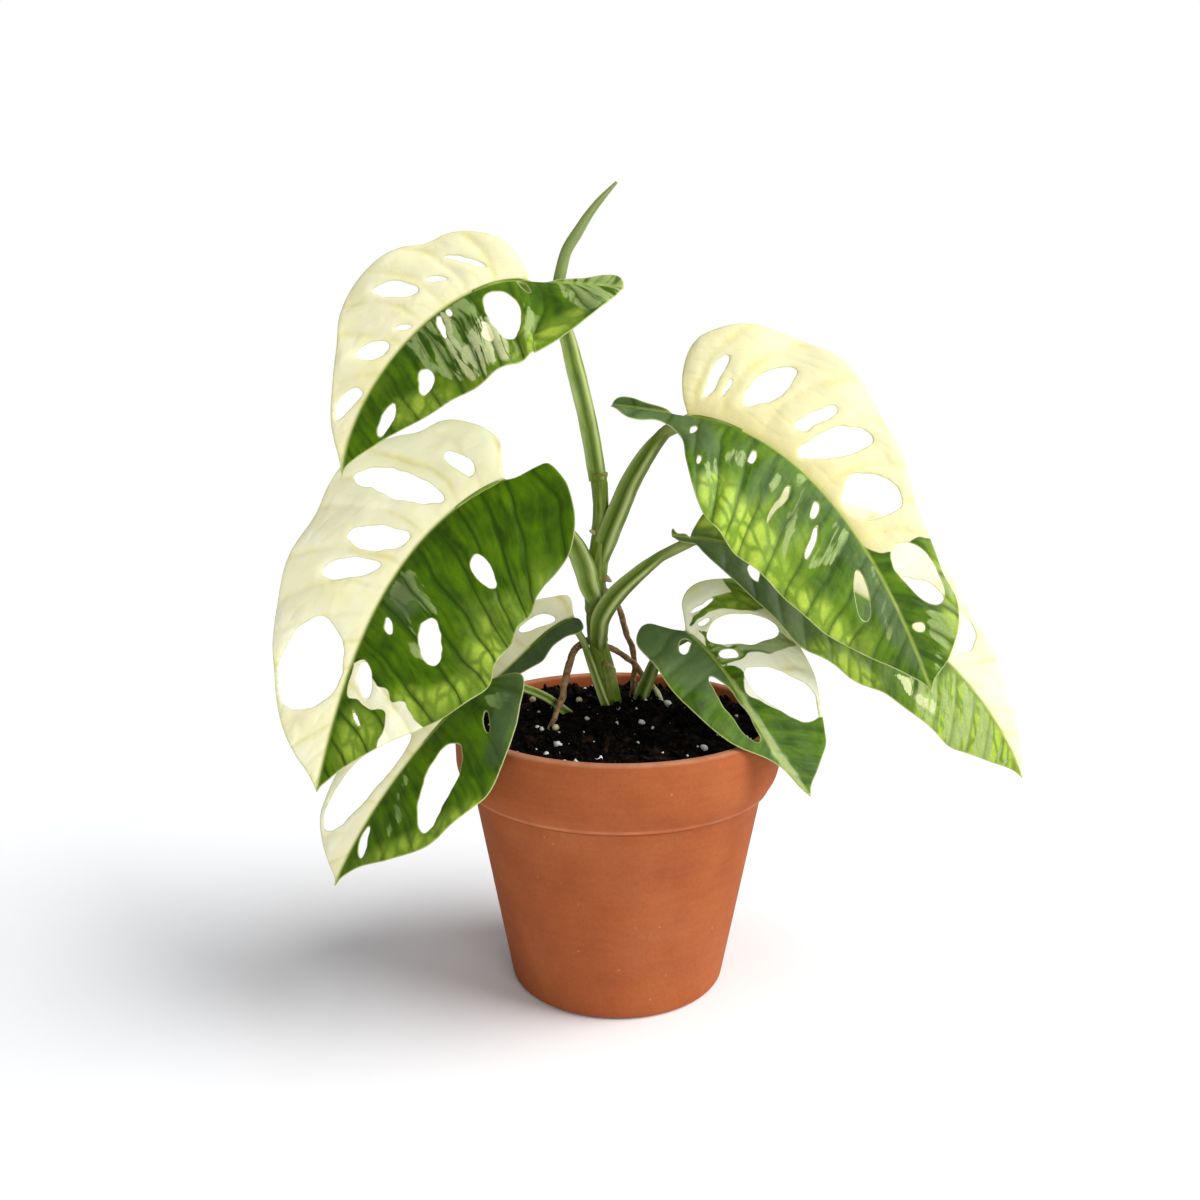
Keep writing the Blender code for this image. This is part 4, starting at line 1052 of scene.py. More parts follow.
def leaf_material(settings):
    """Living leaf tissue, half of it without green: a waxy skin over soft cells.

    The eye sees cream tissue that yellows towards the midrib, and green tissue
    that is darkest on the vein lines, lime where its colour thins, streaked
    grey-green along the veins, partly where air lies under the skin and partly
    as a painted sheen, with a thin pale margin all round. Painted shade darkens
    the vein grooves of both halves, the grey dusk patches are a painted sheen
    and painted shade, and the tan wash is painted shade on the cream.
    """
    made = new_material("leaf tissue")
    place = add(made, "ShaderNodeUVMap", uv_map="Surface")
    tone = {title: add(made, "ShaderNodeAttribute", attribute_name=title).outputs["Fac"]
            for title in ("green", "sage", "lime", "pale", "dusk", "fair", "yellow", "tan",
                          "veins", "vein", "width", "edge", "under")}
    broad, small = (add(made, "ShaderNodeTexNoise",
                        {"Vector": place, "Scale": 1 / (size * MM), "Detail": 3.0})
                    for size in (14, 5))
    # Streaks along the lateral veins, on places counted across and along them
    veined = add(made, "ShaderNodeCombineXYZ", {"X": tone["vein"], "Y": tone["width"]})
    drawn = add(made, "ShaderNodeMapping", {"Vector": veined, "Scale": (3.6, 0.06, 1.0)})
    streak = add(made, "ShaderNodeTexNoise", {"Vector": drawn, "Scale": 1.0, "Detail": 3.0,
                                              "Distortion": 0.4})
    # Groove of a lateral vein: 1 on the vein, 0 a sixth of the way to the next. It paints shade
    # into the grooves of both halves.
    off_vein = add(made, "ShaderNodeMath", {0: tone["vein"], 1: 0.5}, operation="PINGPONG")
    groove = add(made, "ShaderNodeMapRange",
                 {"Value": off_vein, "From Min": 0.16, "From Max": 0.0},
                 interpolation_type="SMOOTHSTEP")
    # Ladder of cross veins, about 6 mm apart, and the net of small veins, 2 mm
    rungs = add(made, "ShaderNodeMapping", {"Vector": veined, "Scale": (1.7, 0.17, 1.0)})
    swayed = add(made, "ShaderNodeMix", {0: 0.12, 4: rungs, 5: small}, data_type="VECTOR")
    rung, nerve = (add(made, "ShaderNodeTexVoronoi", {"Vector": where, "Scale": scale},
                       feature="DISTANCE_TO_EDGE")
                   for where, scale in ((swayed, 1.0), (place, 1 / (2.0 * MM))))
    ladder = add(made, "ShaderNodeMapRange", {"Value": rung, "From Min": 0.24, "From Max": 0.0},
                 interpolation_type="SMOOTHSTEP")
    washed = add(made, "ShaderNodeMath", {0: broad, 1: streak}, operation="ADD")
    # Sage streaks: partly tissue with air under the skin, partly a painted sheen.
    air_and_sheen, bare = (add(made, "ShaderNodeMath", {0: tone[title], 1: 0.5, 2: streak},
                      operation="MULTIPLY_ADD") for title in ("sage", "pale"))
    # Shares: what drives each, where it starts and where it is full, and its most
    share = {title: add(made, "ShaderNodeMapRange", {"Value": value, "From Min": start,
                                                     "From Max": full, "To Max": most})
             for title, value, start, full, most in (
                 ("tinge", broad, 0.45, 0.75, 0.4), ("wash", washed, 0.78, 1.2, 1.0),
                 ("haze", air_and_sheen, 0.93, 1.02, 0.8), ("faded", bare, 0.93, 1.0, 0.9),
                 ("dusk", tone["dusk"], 0.0, 1.0, 0.75), ("fair", tone["fair"], 0.0, 1.0, 0.8),
                 ("groove", groove, 0.0, 1.0, 0.5), ("line", off_vein, 0.045, 0.01, 0.75),
                 ("nerves", nerve, 0.2, 0.0, 1.0), ("fine", nerve, 0.2, 0.0, 0.12),
                 ("under", tone["under"], 0.0, 1.0, 0.35),
                 ("shown", tone["green"], -0.2, 0.2, 1.0),
                 ("rib", tone["width"], 1.1, 0.3, 0.55), ("margin", tone["edge"], 0.5, 0.15, 0.6))}
    patchy = add(made, "ShaderNodeMapRange", {"Value": broad, "From Min": 0.38,
                                              "From Max": 0.66, "To Min": 0.05, "To Max": 0.55})
    fleck = add(made, "ShaderNodeMath", {0: small, 1: 0.5}, operation="ADD")
    crossed = add(made, "ShaderNodeMath", {0: tone["lime"], 1: 0.4, 2: 0.25},
                  operation="MULTIPLY_ADD")
    deep = add(made, "ShaderNodeMath", {0: share["groove"], 1: share["line"]},
               operation="MAXIMUM")
    cream_groove_shade, thinned, crossed, deep = (
        add(made, "ShaderNodeMath", {0: one, 1: other}, operation="MULTIPLY")
        for one, other in ((groove, patchy), (tone["lime"], fleck), (crossed, ladder),
                           (deep, tone["veins"])))
    # Each half is laid up from its first colour, then the green one over the cream. The tint over
    # the cream's grooves is painted shade, and deep green is the vein lines' own colour and
    # painted shade over their grooves.
    cream, green = settings.cream, linear("304a04")
    # The tan wash is painted shade: darker cream on blades whose cream faces the light.
    for amount, tint in ((tone["yellow"], settings.yellow), (tone["tan"], linear("d3cfa4")),
                         (share["tinge"], linear("e9e0a4")), (cream_groove_shade, linear("d6ce80"))):
        cream = add(made, "ShaderNodeMix", {0: amount, 6: cream, 7: tint}, data_type="RGBA")
    for amount, tint in ((share["wash"], settings.green), (thinned, settings.lime),
                         (crossed, linear("416b0a")), (share["haze"], settings.sage),
                         # Dusk: a painted grey sheen and painted shade on the green.
                         (share["faded"], linear("c3c994")), (share["dusk"], linear("536540")),
                         (share["fair"], linear("b3bf86")), (deep, settings.deep),
                         (share["fine"], settings.deep), (share["under"], linear("94ad66"))):
        green = add(made, "ShaderNodeMix", {0: amount, 6: green, 7: tint}, data_type="RGBA")
    colour = cream
    for amount, tint in ((share["shown"], green), (share["rib"], linear("9fae4c")),
                         (share["margin"], linear("c3c98c"))):
        colour = add(made, "ShaderNodeMix", {0: amount, 6: colour, 7: tint}, data_type="RGBA")
    sheen = add(made, "ShaderNodeMapRange", {"Value": broad, "From Min": 0.3, "From Max": 0.7,
                                             "To Min": 0.36, "To Max": 0.5})
    # Light passes through the thin tissue, and most where it holds no green
    glow = add(made, "ShaderNodeMapRange", {"Value": share["shown"], "To Min": 0.7,
                                            "To Max": 0.35})
    # Relief: the nets of veins sink, and the cells between them rise
    relief = small
    for sunk, depth in ((ladder, -0.4), (share["nerves"], -0.05)):
        relief = add(made, "ShaderNodeMath", {0: sunk, 1: depth, 2: relief},
                     operation="MULTIPLY_ADD")
    bump = add(made, "ShaderNodeBump", {"Height": relief, "Distance": 0.4 * MM,
                                        "Strength": 0.6})
    shader = add(made, "ShaderNodeBsdfPrincipled",
                 {"Base Color": colour, "Roughness": sheen, "IOR": 1.4,
                  "Specular IOR Level": 0.18, "Normal": bump, "Subsurface Weight": glow,
                  "Subsurface Scale": 1.0 * MM, "Subsurface Radius": (1.0, 0.9, 0.45)})
    add(made, "ShaderNodeOutputMaterial", {"Surface": shader})
    return made


class PLANT_OT_leaves(Operator):
    """Make the seven pierced blades"""

    bl_idname = "plant.leaves"
    bl_label = "Leaves"

    def execute(self, context):
        settings = context.scene.plant_leaf
        material = leaf_material(settings)
        for name, leaf in LEAVES.items():
            make_blade(name, leaf, settings, material)
        return {"FINISHED"}


# Pot


def rounded(corners, reach, steps):
    """A line through corners, each turned by a quadratic Bezier that starts reach before it."""
    corners = np.array(corners, float)
    way = np.diff(corners, axis=0)
    size = np.linalg.norm(way, axis=1, keepdims=True)
    cut = np.minimum(reach, 0.45 * np.minimum(size[:-1], size[1:]))
    start = corners[1:-1] - way[:-1] / size[:-1] * cut
    end = corners[1:-1] + way[1:] / size[1:] * cut
    t = np.linspace(0, 1, steps)[None, :, None]
    arcs = ((1 - t) ** 2 * start[:, None] + 2 * t * (1 - t) * corners[1:-1, None]
            + t ** 2 * end[:, None])
    return np.vstack([corners[:1], arcs.reshape(-1, corners.shape[1]), corners[-1:]])


def pot_section():
    """The pot's section as (radius, height): along its foot, up, over the rim and down inside."""
    shoulder = POT_HEIGHT - RIM_BAND
    inner = NECK_RADIUS - WALL
    corners = [
        (BASE_REACH, 0.0), (FOOT_RADIUS - 1.6, 0.0), (FOOT_RADIUS - 0.1, 1.4),
        (NECK_RADIUS, shoulder + 0.5), (NECK_RADIUS + 0.9, shoulder + 0.3),
        (NECK_RADIUS + 1.3, shoulder - 0.7), (NECK_RADIUS + 2.2, shoulder - 0.5),
        (RIM_RADIUS - 3.6, shoulder + 1.4), (RIM_RADIUS - 1.6, shoulder + 4.8),
        (RIM_RADIUS - 0.4, shoulder + 9.0),
        (RIM_RADIUS, POT_HEIGHT - 4.0),
        (RIM_RADIUS - 0.6, POT_HEIGHT - 1.2), (RIM_RADIUS - 2.0, POT_HEIGHT),
        (RIM_RADIUS - 4.4, POT_HEIGHT), (RIM_RADIUS - 5.6, POT_HEIGHT - 0.8),
        (RIM_RADIUS - 6.5, POT_HEIGHT - 3.5), (inner + 0.5, shoulder + 4),
        (inner - 0.5, shoulder - 2), (FOOT_RADIUS - WALL, FLOOR + 4),
        (FOOT_RADIUS - WALL - 3, FLOOR), (BASE_REACH, FLOOR),
    ]
    return rounded(corners, CORNER_REACH, CORNER_STEPS)


def turned(section, steps):
    """Rings of a section of (radius, height) turned round Z, (ring, step, xyz)."""
    turn, radius, height = circle(steps), section[:, 0, None], section[:, 1, None]
    return np.stack([radius * np.cos(turn), radius * np.sin(turn), height + 0 * turn], axis=-1)


def pot_base(steps):
    """Points and faces of the pot's base inside BASE_REACH, with its drain holes through it.

    A polar net is clipped at the circle of each drain, then copied from the
    underside to the floor, with a wall down each hole.
    """
    radii = np.linspace(0.5, BASE_REACH, BASE_RINGS)
    rings = turned(np.column_stack([radii, 0 * radii])[::-1], steps)
    points, quads = band(rings)
    around = np.arange(steps)
    start = len(points) - steps
    fan = np.column_stack([start + around, start + (around + 1) % steps,
                           np.full(steps, len(points))])
    points = np.vstack([points, (0, 0, 0)])
    triangles = np.vstack([quads[:, [0, 1, 2]], quads[:, [0, 2, 3]], fan])
    turns = np.radians(DRAIN_TURN + 360 * np.arange(DRAIN_COUNT) / DRAIN_COUNT)
    drains = DRAIN_CIRCLE * np.column_stack([np.cos(turns), np.sin(turns)])
    away = np.linalg.norm(points[:, None, :2] - drains, axis=2).min(axis=1)
    points, triangles = net(points, triangles, DRAIN_RADIUS - away)
    top, under, wall = two_faced(triangles, len(points))
    inside = np.hypot(*points[wall[:, 0], :2].T) < BASE_REACH - 0.1
    points = np.vstack([points + (0, 0, FLOOR), points])
    return points, [top, under, wall[inside]]


def weld(points, faces):
    """The same faces with points that share a place made one."""
    _, first, back = np.unique(np.round(points, 3), axis=0, return_index=True,
                               return_inverse=True)
    return points[first], [back.reshape(-1)[block] for block in faces]


def terracotta_material(settings):
    """Unglazed terracotta, turned on a wheel and fired.

    The eye sees a dry, chalky clay in slightly uneven orange brown, with fine
    sandy grain, darker and paler specks and faint turning marks round it.
    """
    made = new_material("fired terracotta")
    place = add(made, "ShaderNodeTexCoord").outputs["Object"]
    cloud, mottle, grain = (add(made, "ShaderNodeTexNoise",
                                {"Vector": place, "Scale": 1 / (size * MM), "Detail": 5.0})
                            for size in (42, 16, 1.4))
    # Turning marks: noise squashed flat, so that it runs round the pot
    spin = add(made, "ShaderNodeMapping", {"Vector": place, "Scale": (0.04, 0.04, 1.0)})
    marks = add(made, "ShaderNodeTexNoise", {"Vector": spin, "Scale": 1 / (2.2 * MM),
                                             "Detail": 3.0})
    uneven = add(made, "ShaderNodeMath", {0: marks, 1: 0.35, 2: mottle},
                 operation="MULTIPLY_ADD")
    colour = settings.burnt
    for value, start, full, most, tint in ((uneven, 0.45, 0.9, 1.0, settings.clay),
                                           (cloud, 0.5, 0.78, 0.5, settings.dusty)):
        share = add(made, "ShaderNodeMapRange", {"Value": value, "From Min": start,
                                                 "From Max": full, "To Max": most})
        colour = add(made, "ShaderNodeMix", {0: share, 6: colour, 7: tint}, data_type="RGBA")
    sand = add(made, "ShaderNodeMapRange", {"Value": grain, "From Min": 0.3, "From Max": 0.72,
                                            "To Min": 0.93, "To Max": 1.06})
    colour = add(made, "ShaderNodeMix", {0: 1.0, 6: colour, 7: sand}, data_type="RGBA",
                 blend_type="MULTIPLY")
    spots = []
    # Grit: a dark or a pale speck at the middle of about one cell in twelve
    for size, tint, rarity in ((3.4, "7d3f24", 0.9), (3.1, "cf9a74", 0.93)):
        cell = add(made, "ShaderNodeTexVoronoi", {"Vector": place, "Scale": 1 / (size * MM)})
        drawn = add(made, "ShaderNodeSeparateColor", {"Color": cell.outputs["Color"]})
        near = add(made, "ShaderNodeMapRange", {"Value": cell, "From Min": 0.17,
                                                "From Max": 0.02, "To Max": 0.6})
        few = add(made, "ShaderNodeMath", {0: drawn, 1: rarity}, operation="GREATER_THAN")
        spots.append((near, few, tint))
    # Painted shade: a dark line in the crease under the band. Painted highlight: a pale line on
    # the lip over it. The rim's top is paler as well.
    height = add(made, "ShaderNodeSeparateXYZ", {"Vector": place}).outputs["Z"]
    patchy = add(made, "ShaderNodeMapRange", {"Value": mottle, "From Min": 0.35,
                                              "From Max": 0.6, "To Min": 0.35})
    for level, reach, most, tint in ((POT_HEIGHT - RIM_BAND - 1.2, 1.1, 0.8, "6d3216"),
                                     (POT_HEIGHT - RIM_BAND + 0.5, 1.0, 0.4, "cf8c66"),
                                     (POT_HEIGHT, 1.1, 0.55, "c99474")):
        off = add(made, "ShaderNodeMath", {0: height, 1: level * MM}, operation="SUBTRACT")
        off = add(made, "ShaderNodeMath", {0: off}, operation="ABSOLUTE")
        near = add(made, "ShaderNodeMapRange", {"Value": off, "From Min": reach * MM,
                                                "From Max": 0.2 * MM, "To Max": most})
        spots.append((near, patchy, tint))
    for near, kept, tint in spots:
        share = add(made, "ShaderNodeMath", {0: near, 1: kept}, operation="MULTIPLY")
        colour = add(made, "ShaderNodeMix", {0: share, 6: colour, 7: linear(tint)},
                     data_type="RGBA")
    relief = add(made, "ShaderNodeMath", {0: grain, 1: 0.5, 2: marks},
                 operation="MULTIPLY_ADD")
    bump = add(made, "ShaderNodeBump", {"Height": relief, "Distance": 0.35 * MM,
                                        "Strength": 0.5})
    shader = add(made, "ShaderNodeBsdfPrincipled",
                 {"Base Color": colour, "Roughness": 0.86, "IOR": 1.5,
                  "Specular IOR Level": 0.15, "Normal": bump})
    add(made, "ShaderNodeOutputMaterial", {"Surface": shader})
    return made


class PLANT_OT_pot(Operator):
    """Turn the terracotta pot, with drain holes in its base"""

    bl_idname = "plant.pot"
    bl_label = "Pot"

    def execute(self, context):
        settings = context.scene.plant_pot
        points, quads = band(turned(pot_section(), settings.steps))
        base, base_faces = pot_base(settings.steps)
        faces = [quads] + [block + len(points) for block in base_faces]
        points, faces = weld(np.vstack([points, base]), faces)
        piece("terracotta_pot", points, faces, terracotta_material(settings),
              "pot")
        return {"FINISHED"}


# Soil


def soil_height(x, y, lump):
    """Height of the soil in mm: a dome with lumps of 7, 3 and 1.3 mm and fine grain."""
    radius = np.hypot(x, y)
    dome = SOIL_EDGE_HEIGHT + SOIL_DOME * (1 - np.clip(radius / SOIL_EDGE, 0, 1) ** 2)
    flat = np.column_stack([x, y, 0 * x])
    lumps = sum(share * crumbly(x, y, size, seed) for size, share, seed in SOIL_LUMPS)
    return dome + lump * (lumps + 0.25 * rough(flat, 12, 3, 6) - 0.8)


def soil_points(settings):
    """Rings of the soil: its base, its side and its rough top, inwards to the middle."""
    base = SOIL_EDGE_HEIGHT - SOIL_DEPTH
    lower = [(1.0, base), (SOIL_FOOT, base), (SOIL_EDGE, SOIL_EDGE_HEIGHT - 3)]
    inward = np.linspace(SOIL_EDGE, 0.3, SOIL_RINGS)
    rings = turned(np.vstack([lower, np.column_stack([inward, 0 * inward])]), SOIL_AROUND)
    top = rings[len(lower):]
    height = soil_height(top[..., 0].ravel(), top[..., 1].ravel(), settings.lump / MM)
    top[..., 2] = height.reshape(SOIL_RINGS, SOIL_AROUND)
    return rings


def grains(place, size, stretch, rings, around, seed, dent=0.24):
    """Points and faces of rough grains: a ball at each place, dented, stretched and turned."""
    draw = np.random.default_rng(seed)
    height = np.linspace(0, math.pi, rings + 2)[1:-1]
    points, faces = skin(turned(np.column_stack([np.sin(height), -np.cos(height)]), around))
    points[-2:] = (0, 0, -1), (0, 0, 1)
    count = len(place)
    dented = points[None] * draw.uniform(1 - dent, 1 + dent, (count, len(points), 1))
    dented = dented * size[:, None, None] * stretch[:, None, :]
    axes = np.linalg.qr(draw.normal(size=(count, 3, 3)))[0]
    axes[:, :, 0] *= np.sign(np.linalg.det(axes))[:, None]
    placed = np.einsum("nij,npj->npi", axes, dented) + place[:, None]
    shift = (np.arange(count) * len(points))[:, None, None]
    return placed.reshape(-1, 3), [(block[None] + shift).reshape(-1, block.shape[1])
                                   for block in faces]


def scattered(count, reach, lump, seed):
    """Places on the soil: evenly thick over its disc, and drawn from a seed."""
    draw = np.random.default_rng(seed)
    radius = reach * np.sqrt(draw.uniform(0, 1, count))
    turn = draw.uniform(0, 2 * math.pi, count)
    x, y = radius * np.cos(turn), radius * np.sin(turn)
    return np.column_stack([x, y, soil_height(x, y, lump)])


def soil_material(settings):
    """Damp peat potting mix: nearly black crumbs with dry brown fibres between them."""
    made = new_material("damp peat mix")
    place = add(made, "ShaderNodeTexCoord").outputs["Object"]
    cloud, crumb = (add(made, "ShaderNodeTexNoise",
                        {"Vector": place, "Scale": 1 / (size * MM), "Detail": 6.0})
                    for size in (6, 1.0))
    dry = add(made, "ShaderNodeMapRange", {"Value": cloud, "From Min": 0.56, "From Max": 0.76})
    fleck = add(made, "ShaderNodeMapRange", {"Value": crumb, "From Min": 0.58,
                                             "From Max": 0.7, "To Max": 0.8})
    shown = add(made, "ShaderNodeMath", {0: dry, 1: fleck}, operation="MAXIMUM")
    colour = add(made, "ShaderNodeMix", {0: shown, 6: settings.peat, 7: settings.fibre},
                 data_type="RGBA")
    bump = add(made, "ShaderNodeBump", {"Height": crumb, "Distance": 0.6 * MM,
                                        "Strength": 0.8})
    shader = add(made, "ShaderNodeBsdfPrincipled",
                 {"Base Color": colour, "Roughness": 0.88, "Specular IOR Level": 0.05,
                  "Normal": bump})
    add(made, "ShaderNodeOutputMaterial", {"Surface": shader})
    return made


def perlite_material(settings):
    """Expanded perlite: chalk-white volcanic glass foam, dull and full of pits."""
    made = new_material("expanded perlite")
    place = add(made, "ShaderNodeTexCoord").outputs["Object"]
    pits = add(made, "ShaderNodeTexVoronoi", {"Vector": place, "Scale": 1 / (0.5 * MM)})
    stain = add(made, "ShaderNodeTexNoise", {"Vector": place, "Scale": 1 / (2 * MM)})
    dirt = add(made, "ShaderNodeMapRange", {"Value": stain, "From Min": 0.5,
                                            "From Max": 0.75, "To Max": 0.45})
    colour = add(made, "ShaderNodeMix", {0: dirt, 6: settings.white, 7: linear("a89a84")},
                 data_type="RGBA")
    bump = add(made, "ShaderNodeBump", {"Height": pits, "Distance": 0.3 * MM, "Strength": 0.7})
    shader = add(made, "ShaderNodeBsdfPrincipled",
                 {"Base Color": colour, "Roughness": 0.9, "Normal": bump})
    add(made, "ShaderNodeOutputMaterial", {"Surface": shader})
    return made


def prill_material():
    """Resin-coated plant food: smooth dull yellow-grey balls."""
    made = new_material("resin-coated prill")
    place = add(made, "ShaderNodeTexCoord").outputs["Object"]
    cloud = add(made, "ShaderNodeTexNoise", {"Vector": place, "Scale": 1 / (1.5 * MM)})
    colour = add(made, "ShaderNodeMix", {0: cloud, 6: linear("b9b27c"), 7: linear("d6d2ae")},
                 data_type="RGBA")
    shader = add(made, "ShaderNodeBsdfPrincipled", {"Base Color": colour, "Roughness": 0.5})
    add(made, "ShaderNodeOutputMaterial", {"Surface": shader})
    return made


class PLANT_OT_soil(Operator):
    """Fill the pot with peat mix, and scatter crumbs, perlite and plant food on it"""

    bl_idname = "plant.soil"
    bl_label = "Soil"

    def execute(self, context):
        settings = context.scene.plant_soil
        lump = settings.lump / MM
        peat = soil_material(settings)
        points, faces = skin(soil_points(settings))
        piece("potting_mix", points, faces, peat, "soil")
        draw = np.random.default_rng(12)
        place = scattered(settings.crumbs, SOIL_EDGE - CRUMB_KEEP, lump, seed=13)
        size = draw.uniform(*CRUMB_SIZES, len(place)) ** CRUMB_POWER
        stretch = draw.uniform(*CRUMB_STRETCH, (len(place), 3))
        points, faces = grains(place, size, stretch, rings=4, around=7, seed=14)
        piece("peat_crumbs", points, faces, peat)
        place = scattered(settings.perlite, SOIL_EDGE - PERLITE_KEEP, lump, seed=15)
        x, y = np.transpose(PERLITE_SEEN)
        place = np.vstack([place, np.column_stack([x, y, soil_height(x, y, lump)])])
        size = draw.uniform(*PERLITE_SIZES, len(place)) ** PERLITE_POWER
        size[settings.perlite:] = PERLITE_SEEN_SIZES
        stretch = draw.uniform(*PERLITE_STRETCH, (len(place), 3))
        points, faces = grains(place, size, stretch, rings=5, around=9, seed=16)
        piece("perlite", points, faces, perlite_material(settings))
        place = scattered(settings.prills, SOIL_EDGE - PRILL_KEEP, lump, seed=17)
        place = place + (0, 0, PRILL_RISE)
        size, stretch = np.full(len(place), PRILL_RADIUS), np.ones((len(place), 3))
        points, faces = grains(place, size, stretch, rings=9, around=16, seed=18, dent=0.02)
        piece("plant_food", points, faces, prill_material())
        return {"FINISHED"}


# Stem, petioles, young leaf and roots


def stalk_line(name):
    """Points along a stalk's middle, its directions, radii and run in mm.

    A petiole is taken on under its blade, along the midrib, and thins away there.
    """
    stalk = STALKS[name]
    line = smooth(raised(stalk["path"]), 8)
    share = run_of(line) / run_of(line)[-1]
    radii = np.interp(share, np.linspace(0, 1, len(stalk["radii"])), stalk["radii"])
    if "leaf" in stalk:
        along = np.array(UNDER_BLADE)
        ends = UNDER_BLADE[0], UNDER_BLADE[-1]
        under = np.interp(along, ends, UNDER_THICK) * stalk["radii"][-1]
        place, _, upward, _ = midrib_frame(LEAVES[stalk["leaf"]], along)
        sunk = np.interp(along, ends, UNDER_DEEP)[:, None]
        line = np.vstack([line, place - upward * under[:, None] * sunk])
        radii = np.concatenate([radii, under])
    run = run_of(line)
    where = np.linspace(0, run[-1], max(4, round(run[-1] / STALK_RING)))
    *line, radii = (np.interp(where, run, axis) for axis in (*line.T, radii))
    line = np.column_stack(line)
    for _ in range(4):
        line[1:-1] = 0.25 * line[:-2] + 0.5 * line[1:-1] + 0.25 * line[2:]
    return line, unit(np.gradient(line, axis=0)), radii, where


def stalk_frame(ahead, reference):
    """Two directions square to each direction ahead, the first nearest the reference."""
    first = unit(reference - (ahead @ reference)[:, None] * ahead)
    return first, np.cross(ahead, first)


def swept(line, first, second, radius):
    """Rings of a stalk: radius (ring, point) measured in the plane of the two directions."""
    turn = circle(radius.shape[1])[None, :, None]
    spoke = np.cos(turn) * first[:, None] + np.sin(turn) * second[:, None]
    return line[:, None] + spoke * radius[:, :, None]


def skin_noise(run, turn, reach, octaves, seed, shift=0.0):
    """Noise on a stalk's rings: run and the radius reach are counted in its cells."""
    place = np.broadcast_arrays(run[:, None], np.cos(turn) * reach, np.sin(turn) * reach + shift)
    place = np.stack(place, axis=-1).reshape(-1, 3)
    return rough(place, 1.0, octaves, seed).reshape(len(run), -1)


def stalk_piece(name, title, rings, turn, run, material, slot, node, **shares):
    """A stalk's closed mesh with its lengthwise map and the values its material reads."""
    points, faces = skin(rings)
    radius = np.linalg.norm(rings - rings.mean(axis=1, keepdims=True), axis=2).mean()
    around = np.minimum(turn, 2 * math.pi - turn) * radius
    flat = np.stack([np.broadcast_to(around, rings.shape[:2]),
                     np.broadcast_to(run[:, None], rings.shape[:2])], axis=-1)
    shares["olive"] = STALKS.get(node, {}).get("olive", 0.0)
    values = {key: with_poles(np.broadcast_to(value, rings.shape[:2]))
              for key, value in shares.items()}
    offset = np.array([10.0, 30.0]) * (1 + len(name))
    return piece(title, points, faces, material, node, with_poles(flat) + offset,
                 values)


def make_petiole(name, settings, material):
    """One petiole: radius (1 - dip at the channel + rise at its two wings) round its middle.

    The channel runs up the side nearest to CHANNEL_SIDE. It fades over
    CHANNEL_FADE at the joint under the blade, which is a little thicker and
    smooth, and is shallower in the first CHANNEL_FOOT.
    """
    line, ahead, radii, run = stalk_line(name)
    first, second = stalk_frame(ahead, np.array(CHANNEL_SIDE))
    turn = circle(settings.around)
    left = run[-1] - run
    fade = np.clip((left - CHANNEL_STOP) / CHANNEL_FADE, 0, 1)[:, None]
    fade = fade * np.clip(run / CHANNEL_FOOT, 0.4, 1)[:, None]
    away = np.minimum(turn, 2 * math.pi - turn)
    channel = fade * bell(away, CHANNEL_WIDTH)
    wing = fade * bell(away - WING_PLACE, WING_WIDTH)
    knee = bell(left - KNEE_PLACE, KNEE_WIDTH)[:, None]
    ribs = skin_noise(run / 7, turn, 1.6, 2, len(name))
    shape = (1 - CHANNEL_DEPTH * channel + WING_HEIGHT * wing + KNEE_HEIGHT * knee
             + PETIOLE_RIBS * ribs)
    rings = swept(line, first, second, radii[:, None] * shape)
    return stalk_piece(name, f"{name}_skin", rings, turn, run, material, "petiole_skin",
                       name, channel=channel, wing=wing, knee=knee, scar=0.0)


def make_stem(settings, material):
    """The stem: a ridge with a groove under it at each scar where a leaf grew, and fine folds."""
    line, ahead, radii, run = stalk_line("stem")
    first, second = stalk_frame(ahead, np.array(STEM_SIDE))
    turn = circle(settings.around)
    heights, tilts = np.transpose(STEM_SCARS)[..., None, None]
    off = line[:, 2, None] - CROWN_LEVEL - heights - tilts * np.cos(turn)
    scar = bell(off, SCAR_WIDTH).sum(axis=0)
    dip = bell(off + DIP_BELOW, DIP_WIDTH).sum(axis=0)
    folds = skin_noise(run / 8, turn, 2.2, 3, 40)
    radius = radii[:, None] * (1 + STEM_FOLDS * folds) + SCAR_RISE * scar - DIP_DEPTH * dip
    rings = swept(line, first, second, radius)
    return stalk_piece("stem", "stem_skin", rings, turn, run, material, "stem_skin", "stem",
                       channel=0.0, wing=0.0, knee=0.0, scar=scar)


def make_spear(settings, material):
    """The rolled young leaf: a spiral section, one step at its seam, with ribs along it.

    The rings' first direction follows the seam, which winds round the leaf, so
    the step lies between the last point of each ring and the first.
    """
    name = "new_leaf_spear"
    line, ahead, radii, run = stalk_line(name)
    first, second = stalk_frame(ahead, np.array(STEM_SIDE))
    turn = circle(settings.around)
    seam = SEAM_START + run[:, None] / SEAM_WIND
    first, second = (first * np.cos(seam) + second * np.sin(seam),
                     second * np.cos(seam) - first * np.sin(seam))
    past = np.broadcast_to(turn / (2 * math.pi), (len(run), len(turn)))
    rolls = np.abs(np.sin((past * ROLL_COUNT + run[:, None] / 60) * math.pi))
    radius = radii[:, None] * (ROLL_LOW + ROLL_STEP * past + ROLL_RIBS * rolls)
    rings = swept(line, first, second, radius)
    green = np.clip((past - ROLL_GREEN) * 9, 0, 1)
    return stalk_piece(name, "rolled_young_leaf", rings, turn, run, material, "young_leaf",
                       name, green=green,
                       seam=bell(past, SEAM_WIDTH) + bell(1 - past, SEAM_WIDTH))


